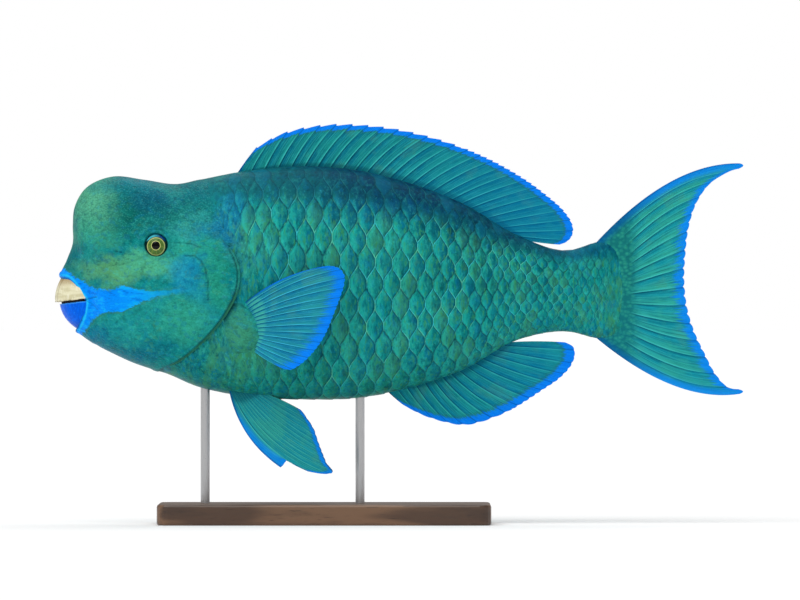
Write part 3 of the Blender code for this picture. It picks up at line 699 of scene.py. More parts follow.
HOLLOWS = [
    # line, width and depth in mm
    (seen_line((233, 248), (238, 262), (241, 278), (241, 292)), 2.4, 0.9),
    (seen_line((222, 352), (212, 364), (198, 374)), 2.0, 0.4),
]


def coat_depth(station, girth):
    """How far the skin lies under the CAD surface, to leave room for the scales."""
    d = np.interp(station, STATION_LINE, MEAN_D)
    belly = ramp(d, 0.100, 0.130) * (1 - ramp(d, 0.240, 0.440))
    depth = COAT * (1 + 1.3 * ramp(station, END - 0.022, END))
    return depth * (1 - 0.8 * ramp(girth, 0.80, 0.96)) - KEEL_RISE * ramp(girth, 0.84, 1.0) * belly


def trunk_height(points):
    """Height of the fleshy lobe that carries the pectoral fin, less the hollows round it."""
    d, h = side_view(points)
    inside = depth_in(d, h, LOBE)
    height = LOBE_RISE * ramp(inside, -0.6 * MM, 3.0 * MM) * ramp(d, 0.148, 0.166)
    for line, width, depth in HOLLOWS:
        height -= depth * MM * bell(gap_to(d, h, line), width * MM)
    return height


print(len(CREASES), "creases on each side of the head")

# %% [markdown]
# ## The skin
#
# The net's rings go from the throat, out over the lip, along the head to the gill cover's edge,
# round that edge and under it, over the narrow membrane behind it, and then along the trunk to
# the tail. The half net is mirrored, and the mirror flips the bake map too, so that the two
# sides keep their own places on it.

# %% Rings of the skin
LIP_TURN = [
    # in mm ahead of the mouth's edge and outward, and the share of the way to the throat
    (-0.9, -3.4, 0.9), (0.0, -3.2, 0.0), (0.9, -1.9, 0.0), (1.15, -0.9, 0.0), (0.75, -0.2, 0.0),
]
COVER_FOLD = [
    # in mm backward and inward from the gill cover's edge, shade, and 1 on the olive strip
    (0.30, 0.08, 0.40, 0), (0.50, 0.35, 0.40, 0), (0.50, 0.65, 0.40, 0), (0.25, 0.95, 0.95, 0),
    (-0.6, 1.05, 0.95, 0), (-2.4, 1.10, 0.95, 0), (-2.4, 1.50, 0.95, 0), (-0.4, 1.45, 0.95, 0),
    (1.5, 1.25, 0.0, 1), (2.7, 1.20, 0.0, 1), (3.1, 1.35, 0.0, 1),
    (3.2, 1.70, 0.95, 0), (3.0, 2.05, 0.95, 0), (1.6, 2.15, 0.95, 0),
]
THROAT = np.array(in_frame(0.034, -0.011))
COVER_OVERLAP = 0.8 * MM
UNWRAP_HIGH = 0.5


def unwrap(station, girth):
    """The bake map: the body laid flat, along it to the right and its girth upward."""
    wide = np.interp(station, STATION_LINE, HALF_GIRTH) / HALF_GIRTH.max()
    return np.stack([0.02 + 0.96 * station / END,
                     UNWRAP_HIGH * (0.5 + 0.96 * (girth - 0.5) * wide)], axis=-1)


rings = []
keep = {"station": [], "shade": [], "strip": []}


def add_ring(points, station, shade, strip=0.0):
    rings.append(points)
    for name, value in (("station", station), ("shade", shade), ("strip", strip)):
        keep[name].append(np.broadcast_to(value, girths.shape))


head_shares = spaced(HEAD_RINGS, (float(eye_share), 0.10, 1.3), (0.0, 0.05, 1.2), (1.0, 0.03, 1.0))
head_stations = mouth_at + head_shares[:, None] * (cover_at - mouth_at)
girth_grid = np.broadcast_to(girths, head_stations.shape)
head_points = look_up(BODY, head_stations, girth_grid)
head_normals = look_up(OUTWARD, head_stations, girth_grid)
row_steps = np.linalg.norm(np.diff(head_points, axis=0), axis=2)
from_mouth = np.concatenate([np.zeros((1, SKIN_ROWS + 1)), np.cumsum(row_steps, axis=0)])
heights, from_eye_mm = head_height(head_points, from_mouth)
free = ramp(-side_view(head_points[-1])[1], -0.044, -0.030) * (1 - ramp(girths, 0.93, 0.995))
head_skin = head_points + head_normals * heights[..., None]
print("the gill cover is free over", round(float(free.mean()), 2), "of the girth")

# %% The lip, the head and the gill cover's fold
edge, normal = head_skin[0], head_normals[0]
chin = (1 - 0.8 * ramp(-side_view(edge)[1], 0.018, 0.032))[:, None]
forward = -look_up(BACKWARD, mouth_at, girths)
for ahead, out, throat in LIP_TURN:
    ring = edge + forward * ahead * MM * chin + normal * out * MM
    add_ring(ring * (1 - throat) + THROAT * throat, mouth_at, 1.0 if out < -2 else 0.35)

d_grid, h_grid = side_view(head_points)
lip_line = bell(from_mouth / MM, 0.9)
socket = bell(from_eye_mm - 9.7, 0.55) + (from_eye_mm < 9.4)
pits = sum(bell(np.hypot(d_grid - place[0], h_grid - place[1]), MM) for place in NOSTRILS)
lines = sum(depth * 0.9 * bell(gap_to(d_grid, h_grid, line), width * 0.6 * MM)
            for line, width, depth in CREASES)
edge_line = 0.5 * free * bell(np.sum(row_steps, axis=0) - from_mouth, 0.7 * MM)
head_shade = np.clip(0.7 * lip_line + 0.9 * socket + 0.9 * pits + lines + edge_line, 0, 1)
for points, station, shade in zip(head_skin, head_stations, head_shade):
    add_ring(points, station, shade)

edge, normal = head_skin[-1], head_normals[-1]
backward = look_up(BACKWARD, cover_at, girths)
low_down = 0.30 + 0.70 * ramp(-side_view(edge)[1], -0.012, 0.010)
for back, inward, shade, strip in COVER_FOLD:
    ring = edge + (backward * back - normal * inward) * MM * free[:, None]
    add_ring(ring, cover_at, free * shade, free * strip * low_down)
print("rings up to the gill cover:", len(rings))

# %% The trunk
trunk_shares = spaced(TRUNK_RINGS, (0.04, 0.06, 1.5))
trunk_from = cover_at - COVER_OVERLAP * free
trunk_stations = trunk_from + trunk_shares[:, None] * (END - trunk_from)
girth_grid = np.broadcast_to(girths, trunk_stations.shape)
trunk_points = look_up(BODY, trunk_stations, girth_grid)
trunk_normals = look_up(OUTWARD, trunk_stations, girth_grid)
behind = trunk_stations - cover_at
sunk = coat_depth(trunk_stations, girth_grid) * np.maximum(free, ramp(behind, 0.0, 0.010))
trunk_skin = trunk_points + trunk_normals * (trunk_height(trunk_points) - sunk)[..., None]
trunk_d, trunk_h = side_view(trunk_points)
trunk_lines = sum(depth * 0.9 * bell(gap_to(trunk_d, trunk_h, line), width * 0.7 * MM)
                  for line, width, depth in HOLLOWS)
lobe_rim = bell(depth_in(trunk_d, trunk_h, LOBE) / MM + 0.6, 0.7)
trunk_lines += 0.45 * lobe_rim * ramp(trunk_d, 0.148, 0.160)
for points, station, past, line in zip(trunk_skin, trunk_stations, behind, trunk_lines):
    shadow = free * np.exp(-np.maximum(past - 4.0 * MM, 0) / (2.6 * MM))
    add_ring(points, station, np.minimum(0.9 * shadow + line, 1))
last = trunk_skin[-1].copy()
last[:, 0] += 0.6 * MM
last[:, 1] = 0.0
add_ring(last, END, 0.0)
rings = np.array(rings)
keep = {name: np.array(value) for name, value in keep.items()}
print("skin net:", rings.shape[0], "rings of", rings.shape[1], "points")

# %% [markdown]
# ## Markings
#
# The blue band round the mouth runs back over the cheek as a stripe. Its outline is measured on
# the picture, and each point of the skin keeps how deep it lies inside that outline. The material
# turns this into a sharp, slightly ragged edge, however coarse the mesh is.

# %% The skin's mesh
BLUE = seen_line(
    (56, 262), (66, 270.5), (70.7, 273.5), (82.3, 281), (90.3, 286.5), (97.2, 289.3), (110, 290),
    (119, 288.4), (127, 286.6), (131, 288), (140, 290.6), (152, 291.6), (166, 290.6), (182, 288.0),
    (190, 288.0),
    (193, 291.5), (182, 293), (170, 294.2), (158, 297.3), (147, 300.7), (138, 304), (127, 308.6),
    (124, 312.6), (118, 311.6), (110, 311.6), (100, 314.6), (93.5, 320.2), (88, 326.7),
    (80, 338), (50, 340),
)
skin, ring_of, row_of = net("skin", rings)
ring_d, ring_h = side_view(rings)
blue = depth_in(ring_d, ring_h, BLUE)
# a painted highlight along the crest of each lip, kept as the skin's ridge value
lip_highlight = np.zeros_like(blue)
lip_highlight[len(LIP_TURN):len(LIP_TURN) + HEAD_RINGS + 1] = (
    bell(from_mouth / MM - 2.6, 0.9) * (1 - ramp(np.abs(girths - 0.5), 0.30, 0.50)))
for name, table in (("blue", blue), ("shade", keep["shade"]), ("ridge", lip_highlight),
                    ("strip", keep["strip"]),
                    ("girth", np.broadcast_to(girths, blue.shape))):
    keep_value(skin, name, table[ring_of, row_of])
stations = keep["station"][ring_of, row_of]
skin.data.uv_layers[0].name = "OFBake"
keep_map(skin, "OFBake", unwrap(stations, girths[row_of]))
apply(skin, "MIRROR", use_axis=(False, True, False), use_mirror_v=True, merge_threshold=2e-6)
tidy(skin, 75, 4e-6)
print("skin:", len(skin.data.polygons), "faces")

# %% [markdown]
# ## Colours of the flesh
#
# Skin and scales share one recipe, so that a marking runs on from one to the other. It starts
# with a blue-green ground, and lays soft patches over it: green on the forehead, olive under the
# eye, blue behind the head, navy along the back. Some patches are painted light and shade of the
# head's form: the green on the front of the forehead is partly a painted highlight, and a dark
# patch in the middle of the hump is painted shade. Noise bends the edges of the patches, and finer
# noise adds small flecks like brush marks.

# %% The flesh recipe
GROUND = (0.004, 0.238, 0.232)
DEEP = (0.002, 0.128, 0.165)
LIGHT = (0.030, 0.400, 0.320)
OLIVE = (0.062, 0.250, 0.060)
NAVY = (0.001, 0.038, 0.098)
VIVID = (0.002, 0.170, 0.420)
AZURE = (0.001, 0.265, 1.0)
CYAN = (0.006, 0.500, 1.0)
SHADOW = (0.001, 0.030, 0.045)
BELLY = (0.002, 0.130, 0.140)
PATCHES = [
    # centre and reach in the picture's pixels, colour, strength
    # green on the front of the forehead, partly a painted highlight
    ((97, 200), (20, 30), (0.105, 0.460, 0.250), 0.90),
    ((96, 234), (24, 16), (0.050, 0.370, 0.200), 0.60),
    # painted shade in the middle of the hump
    ((128, 214), (24, 24), (0.003, 0.130, 0.095), 0.85),
    ((118, 185), (36, 7), (0.004, 0.170, 0.220), 0.60),
    ((146, 188), (22, 9), (0.006, 0.240, 0.290), 0.50),
    ((156, 202), (24, 13), (0.001, 0.085, 0.165), 0.80),
    ((176, 216), (28, 14), (0.006, 0.150, 0.125), 0.70),
    ((198, 228), (26, 11), (0.040, 0.380, 0.350), 0.60),
    ((232, 226), (15, 26), (0.006, 0.140, 0.380), 0.75),
    ((212, 232), (18, 10), (0.008, 0.190, 0.330), 0.60),
    ((122, 270), (42, 13), (0.130, 0.390, 0.090), 0.72),
    ((152, 266), (34, 14), (0.075, 0.500, 0.290), 0.75),
    ((192, 252), (30, 14), (0.030, 0.400, 0.260), 0.60),
    ((150, 228), (18, 10), (0.010, 0.200, 0.190), 0.55),
    ((189, 272), (20, 18), (0.008, 0.270, 0.520), 0.72),
    ((204, 306), (14, 26), (0.006, 0.240, 0.360), 0.55),
    ((150, 318), (48, 24), (0.018, 0.360, 0.330), 0.55),
    ((186, 322), (24, 24), (0.036, 0.390, 0.220), 0.65),
    ((110, 332), (20, 12), (0.008, 0.270, 0.310), 0.55),
    ((118, 354), (46, 12), (0.001, 0.150, 0.250), 0.80),
    ((92, 338), (16, 12), (0.001, 0.180, 0.330), 0.75),
    ((220, 282), (11, 30), (0.016, 0.300, 0.180), 0.75),
    ((246, 348), (30, 20), (0.060, 0.340, 0.150), 0.60),
    ((256, 250), (22, 20), (0.060, 0.330, 0.170), 0.50),
    ((285, 188), (60, 16), (0.001, 0.080, 0.105), 0.85),
    ((410, 196), (90, 16), (0.001, 0.030, 0.085), 0.90),
    ((365, 212), (56, 12), (0.001, 0.075, 0.190), 0.75),
    ((470, 228), (56, 18), (0.001, 0.050, 0.090), 0.88),
    ((520, 246), (44, 9), (0.001, 0.050, 0.095), 0.80),
    ((350, 258), (80, 20), (0.025, 0.310, 0.230), 0.45),
    ((480, 272), (76, 28), (0.002, 0.120, 0.110), 0.70),
    ((330, 384), (120, 18), (0.010, 0.250, 0.180), 0.60),
    ((250, 366), (40, 14), (0.040, 0.290, 0.130), 0.50),
    ((238, 326), (14, 20), (0.060, 0.320, 0.150), 0.60),
    ((590, 246), (26, 8), (0.001, 0.080, 0.180), 0.70),
    ((596, 340), (22, 8), (0.002, 0.130, 0.260), 0.60),
    ((618, 296), (12, 30), (0.016, 0.270, 0.200), 0.60),
]


def flesh(f, grain, lie):
    """The colour of skin and scales. grain is the strength of its flecks, lie stretches them."""
    shifted = f.node("ShaderNodeVectorMath", {"operation": "ADD"},
                     {0: f.place(), 1: (3.1, 1.7, 0.4)})
    bend = f.noise(30.0, 4.0, 0.6)
    bend_too = f.noise(34.0, 4.0, 0.6, vector=shifted)
    mottle = f.noise(85.0, 4.0, 0.65)
    brush = f.noise(240.0, 3.0, 0.7, stretch=lie)
    fleck = f.noise(640.0, 2.0, 0.6, vector=shifted, stretch=lie)
    swirl = f.node("ShaderNodeTexNoise", sockets={"Vector": f.place(), "Scale": 160.0},
                   out="Color")
    dabs = f.cells(380.0, f.stretched(f.mix(f.place(), swirl, 0.006), lie), out="Color")
    red, green, violet = (
        f.node("ShaderNodeSeparateColor", sockets={0: dabs}, out=name)
        for name in ("Red", "Green", "Blue"))
    d = f.axis("X") + (LENGTH / 2) + (bend - 0.5) * 0.034 + (brush - 0.5) * 0.022
    h = f.axis("Z") - AXIS_HEIGHT + (bend_too - 0.5) * 0.034 + (mottle - 0.5) * 0.014
    girth = f.attribute("girth") + (bend - 0.5) * 0.14
    along_back = d.ease(0.150, 0.260) * d.ease(0.480, 0.400)
    colour = f.paint(
        GROUND,
        (DEEP, mottle.ease(0.50, 0.66) * 0.55),
        (LIGHT, bend_too.ease(0.50, 0.64) * 0.50),
        (NAVY, girth.ease(0.260, 0.100) * (along_back * 0.58 + 0.42)),
        (BELLY, girth.ease(0.84, 1.0) * 0.50),
    )
    for centre, (reach_x, reach_y), tone, strength in PATCHES:
        centre_d, centre_h = seen(*centre)
        off_d = (d - centre_d) / (reach_x * PIXEL)
        off_h = (h - centre_h) / (reach_y * PIXEL)
        near = (off_d * off_d + off_h * off_h).ease(2.2, -0.30)
        colour = f.mix(colour, tone, near * strength)
    dark = f.mix(colour, (0.0, 0.004, 0.010), 0.50)
    light = f.mix(colour, (0.070, 0.760, 0.680), 0.26)
    off_back = girth.ease(0.06, 0.30) * 0.70 + 0.30
    olive_dabs = red.ease(0.70, 0.92) * bend.ease(0.46, 0.58) * girth.ease(0.12, 0.30)
    colour = f.paint(
        colour,
        (light, brush.ease(0.52, 0.68) * off_back * grain),
        (dark, brush.ease(0.47, 0.32) * grain),
        (OLIVE, olive_dabs * (0.40 * grain)),
        (VIVID, green.ease(0.74, 0.92) * off_back * (0.36 * grain)),
        (dark, violet.ease(0.78, 0.95) * (0.45 * grain)),
        ((0.050, 0.600, 0.520), fleck.ease(0.60, 0.74) * off_back * (0.40 * grain)),
        (dark, fleck.ease(0.42, 0.28) * (0.60 * grain)),
    )
    return colour, {"bend": bend, "mottle": mottle, "brush": brush, "fleck": fleck}


print(len(PATCHES), "patches of colour")

# %% [markdown]
# ## The skin's finish
#
# Over the flesh come small pebbles, most of all on the scalp, each with a painted highlight on top
# and painted shade between them. Then come the blue of the mouth and cheek, a painted highlight
# along each lip, and last the painted shade in lips, nostrils and creases. The blue could be a
# piece of its own, but on the fish it is a colour of the skin, so it is painted where the skin's
# value says.

# %% Skin finish
SHEEN = {"Specular_IOR_Level": 0.25, "Specular_Tint": (0.05, 0.62, 0.72, 1.0)}

f = Finish("parrotfish_skin", **SHEEN)
colour, tones = flesh(f, 0.62, (0.70, 1.0, 0.90))
pebbles = f.cells(700.0, f.stretched(f.place(), (0.85, 1.0, 1.0)))
scalp = f.axis("Z").ease(AXIS_HEIGHT + 0.035, AXIS_HEIGHT + 0.060)
streak = f.noise(300.0, 3.0, 0.65, stretch=(0.30, 1.0, 1.0))
fine = (tones["fleck"] - 0.5) * 0.0030 + (streak - 0.5) * 0.0075
ragged = f.attribute("blue") + fine
rim = ragged.ease(-0.0026, -0.0006) * ragged.ease(0.0002, -0.0006) * 0.45
faded = (f.axis("X") + fine * 3.0).ease(seen_x(198), seen_x(132))
blue_tone = f.paint(
    AZURE,
    (CYAN, (f.axis("X") + fine * 2).ease(seen_x(110), seen_x(160)) * 0.55),
    (CYAN, streak.ease(0.52, 0.66) * 0.6),
    ((0.001, 0.130, 0.640), streak.ease(0.47, 0.34) * 0.6),
)
colour = f.paint(
    colour,
    # painted highlight on each pebble, then painted shade between the pebbles
    ((0.130, 0.640, 0.560), pebbles.ease(0.34, 0.12) * (scalp * 0.14 + 0.05)),
    ((0.001, 0.060, 0.080), pebbles.ease(0.50, 0.75) * (scalp * 0.16 + 0.16)),
    ((0.050, 0.180, 0.060), rim * faded),
    (blue_tone, ragged.ease(-0.0012, 0.0012) * (faded * 0.93 + 0.07)),
    # painted highlight along each lip
    ((0.020, 0.680, 1.0), f.attribute("ridge") * 0.70),
    ((0.028, 0.150, 0.065), f.attribute("strip") * 0.75),
    (SHADOW, f.attribute("shade") * 0.88),
)
f.feed("Base Color", colour)
f.feed("Roughness", tones["brush"] * 0.3 + 0.30)
f.bump(tones["fleck"] * 0.4 + tones["brush"] * 0.5 - pebbles * 0.6, 0.0008, 0.70)
finish_piece(skin, f.material, "skin",
             "head", "gill_cover_left", "gill_cover_right", "trunk", "tail_stem")

# %% [markdown]
# ## One scale
#
# A parrotfish has large scales that lie like roof tiles. Each shows as a tall hexagon, because
# the rows are half a scale apart. One scale is modelled as a wedge: a small grid, a rear edge
# turned down, and a flat underside. Its x is along the body in half columns from the middle of
# the scale, its y is in rows, and its z is the height as a share of the full relief.

# %% The scale's form
FLAT_EDGE = 0.16
TIP = 1 - FLAT_EDGE
ACROSS = np.array([-1.0, -0.80, -0.58, -0.38, -0.19, 0.0, 0.19, 0.38, 0.58, 0.80, 1.0]) * TIP
ALONG = np.array([0.0, 0.55, 0.88, 1.0])
ROOT_BACK = 2.7
RIM_DROP = 0.80


def rear_edge(across):
    """How far back the scale reaches: flat in the middle, slanting to its points."""
    slant = np.clip((np.abs(across) - FLAT_EDGE) / (1 - 2 * FLAT_EDGE), 0, 1)
    return 1 - (0.55 * slant + 0.45 * (0.5 - 0.5 * np.cos(math.pi * slant)))


def scale_form():
    v, a = np.meshgrid(ACROSS, ALONG, indexing="ij")
    x = rear_edge(v) - ROOT_BACK * (1 - a)
    top = a - 0.38 * np.abs(v / TIP) ** 3
    return net("scale_form", np.stack([x, v, top], axis=-1))


form, _, along_index = scale_form()
for polygon in form.data.polygons:
    polygon.select = False
for line in form.data.edges:
    line.select = False
for point, place in zip(form.data.vertices, along_index):
    point.select = bool(place == len(ALONG) - 1)
only(form)
bpy.ops.object.mode_set(mode="EDIT")
bpy.ops.mesh.select_mode(type="EDGE")
bpy.ops.mesh.extrude_region_move(TRANSFORM_OT_translate={"value": (-0.02, 0, -RIM_DROP)})
bpy.ops.mesh.select_mode(type="VERT")
bpy.ops.object.mode_set(mode="OBJECT")
corners = np.array([v.co for v in form.data.vertices])
facets = [list(p.vertices) for p in form.data.polygons]
top_count = len(ACROSS) * len(ALONG)
front = sorted(np.flatnonzero(along_index == 0), key=lambda k: corners[k][1])
lowest = sorted(range(top_count, len(corners)), key=lambda k: corners[k][1])
facets += [[front[k], front[k + 1], lowest[k + 1], lowest[k]] for k in range(len(ACROSS) - 1)]
for end in (0, -1):
    side = sorted(np.flatnonzero(np.abs(corners[:top_count, 1] - ACROSS[end]) < 1e-6),
                  key=lambda k: corners[k][0])
    facets.append([*side, lowest[end]])
facets = [[int(k) for k in facet] for facet in facets]
bpy.data.objects.remove(form, do_unlink=True)
print("one scale has", len(corners), "corners and", len(facets), "facets")

# %% [markdown]
# ## The coat of scales
#
# The scales stand on a lattice: columns of about 15 mm along the middle of the body, which get
# narrower towards the head and the tail, and twelve rows from the back to the belly. The one
# scale is set down at each place and bent to the body's map there. Relief fades towards the
# belly, the back and the head. On the bake map each scale is a small patch at its root's place.

# %% Scales laid over the skin
COLUMN_WIDTHS = [
    # distance behind the beak's tip, and the width of a column of scales there in mm
    (0.080, 7.5), (0.130, 9.0), (0.165, 12.0), (0.195, 15.0), (0.300, 15.3),
    (0.350, 13.0), (0.400, 10.6), (0.440, 9.0), (0.470, 7.0), (0.500, 5.0),
]
ROWS_A_SIDE = 12
FIRST_COLUMN = 0.078
PAST_TAIL = 0.012
COVER_TOP = 0.038
# The midline rows leave out the scales where the dorsal and the anal fin grow.
FIN_ROOTS = {0: (0.163, 0.415), ROWS_A_SIDE: (0.288, 0.402)}
RELIEF = 1.0 * MM
PATCH = 0.003

column_d, column_w = np.array(COLUMN_WIDTHS).T
lattice = [float(np.interp(FIRST_COLUMN, MEAN_D, STATION_LINE))]
while lattice[-1] < END + PAST_TAIL:
    here = np.interp(lattice[-1], STATION_LINE, MEAN_D)
    lattice.append(lattice[-1] + np.interp(here, column_d, column_w) * MM / 2)
lattice = np.array(lattice)
rng = np.random.default_rng(7)


def scale_sites():
    """Column, row and relief of each scale of the left side, with the midline rows."""
    sites = []
    for row in range(ROWS_A_SIDE + 1):
        for column in range(row % 2, len(lattice) - 3, 2):
            girth = row / ROWS_A_SIDE
            place = look_up(BODY, np.array(lattice[column]), np.array(girth))
            d, h = side_view(place)
            behind = d - cover_d(h)
            beside_cover = h < COVER_TOP and girth < 0.95
            last = END - 0.016 * abs(2 * girth - 1) ** 2
            if behind < (1.0 * MM if beside_cover else -4.0 * MM) or lattice[column] > last:
                continue
            fin_from, fin_to = FIN_ROOTS.get(row, (0.0, 0.0))
            if fin_from < d < fin_to:
                continue
            if depth_in(np.array(d), np.array(h), LOBE) > -0.5 * MM:
                continue
            low = ramp(-h, 0.0, 0.05)
            relief = 0.08 + 0.92 * ramp(behind, 0.004 + 0.030 * low, 0.052 + 0.075 * low)
            relief *= 0.40 + 0.60 * ramp(girth, 0.02, 0.20) * (1 - 0.75 * ramp(girth, 0.66, 0.90))
            relief *= 1 - 0.45 * ramp(d, 0.38, 0.46) - 0.40 * ramp(d, 0.47, 0.495)
            sites.append((column, row, relief))
    return sites


def lay_scales(name, sites, side):
    """All the scales of one side as one joined mesh. side is 1 on the left, -1 on the right."""
    count = len(corners)
    back, across, up = corners.T
    column, row, relief = (np.array(v, float)[:, None] for v in zip(*sites))
    jitter = rng.uniform(-1, 1, (len(sites), 1))
    at_column = column + back + 0.05 * jitter * up
    station = np.interp(at_column, np.arange(len(lattice)), lattice)
    girth = (row + across) / ROWS_A_SIDE
    base = look_up(BODY, np.minimum(station, END), girth)
    base[..., 0] += np.maximum(station - END, 0)
    height = up * RELIEF * relief - coat_depth(station, girth)
    placed = base + look_up(OUTWARD, np.minimum(station, END), girth) * height[..., None]
    placed[..., 1] *= side
    mesh = bpy.data.meshes.new(name)
    faces = [[k + n * count for k in facet] for n in range(len(sites)) for facet in facets]
    mesh.from_pydata(placed.reshape(-1, 3).tolist(), [], faces)
    piece = bpy.data.objects.new(name, mesh)
    bpy.context.collection.objects.link(piece)
    from_edge = np.maximum(rear_edge(across) - back, 0)
    from_edge[top_count:] = 0
    keep_map(piece, "scale", np.tile(np.stack([from_edge, across], axis=1), (len(sites), 1)))
    local = np.stack([1 - from_edge / ROOT_BACK, across / 2 + 0.5], axis=1)
    root = unwrap(np.interp(column, np.arange(len(lattice)), lattice), row / ROWS_A_SIDE)
    patch = root + (local - 0.5) * PATCH
    if side < 0:
        patch[..., 1] = 1 - patch[..., 1]
    keep_map(piece, "OFBake", patch.reshape(-1, 2))
    keep_value(piece, "girth", np.clip(girth, 0, 1))
    keep_value(piece, "relief", np.broadcast_to(relief, girth.shape))
    keep_value(piece, "tint", np.broadcast_to(rng.uniform(0, 1, (len(sites), 1)), girth.shape))
    tidy(piece, 40, 1e-7)
    return piece


sites = scale_sites()
middle_rows = (0, ROWS_A_SIDE)
scales_left = lay_scales("scales_left", sites, 1)
scales_right = lay_scales("scales_right", [s for s in sites if s[1] not in middle_rows], -1)
print(len(sites), "scales on the left side")

# %% [markdown]
# ## The look of a scale
#
# Each scale is a little lighter and greener in front, as painted light, and turns darker and
# bluer towards its rear, as painted shade. Near its rear edge it gets a band of painted shadow and
# then a thin pale line of painted highlight. The scale's own map gives the distance to that edge,
# and a random tint makes some scales olive and some blue.

# %% Scale finish
f = Finish("parrotfish_scales", **SHEEN)
colour, tones = flesh(f, 0.95, (1.0, 1.0, 0.45))
local = f.attribute("scale", "Vector")
from_edge, across = f.part(local, "X"), abs(f.part(local, "Y"))
shows = ((1 - across * 2) / (1 - 2 * FLAT_EDGE) + 1).least(2.0).most(0.08)
cell = 1 - from_edge / shows
tint = f.attribute("tint")
raised = f.attribute("relief").ease(0.05, 0.85)
grain = f.noise(260.0, 3.0, 0.6, stretch=(0.5, 1.0, 1.0))
strokes = f.noise(430.0, 3.0, 0.65, stretch=(1.0, 1.0, 0.28))
loose = (grain - 0.5) * 0.10
below_back = f.attribute("girth").ease(0.14, 0.28)
colour = f.paint(
    colour,
    (OLIVE, tint.ease(0.60, 0.95) * below_back * 0.32),
    ((0.003, 0.170, 0.300), tint.ease(0.30, 0.08) * 0.30),
)
# painted light on the front of each scale, and painted shade that turns its rear darker and bluer
painted_light_tone = f.mix(colour, (0.026, 0.640, 0.500), 0.50)
painted_shade_tone = f.mix(colour, (0.001, 0.050, 0.090), 0.60)
front_half = (cell + loose).ease(0.55, 0.02) * cell.ease(-0.55, -0.10)
# the pale line along each scale's rear edge is a painted highlight, darker on the back
pale = f.mix((0.050, 0.640, 0.720), (0.130, 0.720, 0.480), tones["mottle"].ease(0.45, 0.60))
pale = f.mix((0.004, 0.120, 0.190), pale, below_back * 0.85 + 0.15)
broken = tones["bend"].ease(0.40, 0.58) * 0.55 + grain.ease(0.40, 0.60) * 0.30
colour = f.paint(
    colour,
    (painted_light_tone, front_half * raised * (below_back * 0.75 + 0.10)),
    (painted_shade_tone, (cell + loose).ease(0.45, 0.95) * raised * 0.60),
    (SHADOW, (from_edge + loose * 0.5).ease(0.30, 0.13) * raised * 0.70),
    ((0.040, 0.290, 0.085), strokes.ease(0.53, 0.66) * below_back * 0.55),
    ((0.001, 0.085, 0.120), strokes.ease(0.47, 0.34) * 0.55),
    (pale, (from_edge + loose * 0.5).ease(0.15, 0.07) * raised * broken),
)
f.feed("Base Color", colour)
f.feed("Roughness", tones["brush"] * 0.3 + 0.28)
rings_of_growth = ((from_edge + loose * 0.3) * 14.0).fraction()
f.bump(tones["fleck"] * 0.4 + tones["brush"] * 0.4 + grain * 0.4
       + abs(rings_of_growth - 0.5) * 0.10, 0.0006, 0.60)
for piece in (scales_left, scales_right):
    finish_piece(piece, f.material, "skin")

# %% [markdown]
# ## Fins
#
# A fin is a thin sheet between a root line and a rim line, held by rays. Each ray is a curve from
# root to rim, so the sheet is a net whose columns follow the rays. Its thickness is largest on
# each ray, where it makes a ridge on both faces, and it is given by a vertex group to Solidify.

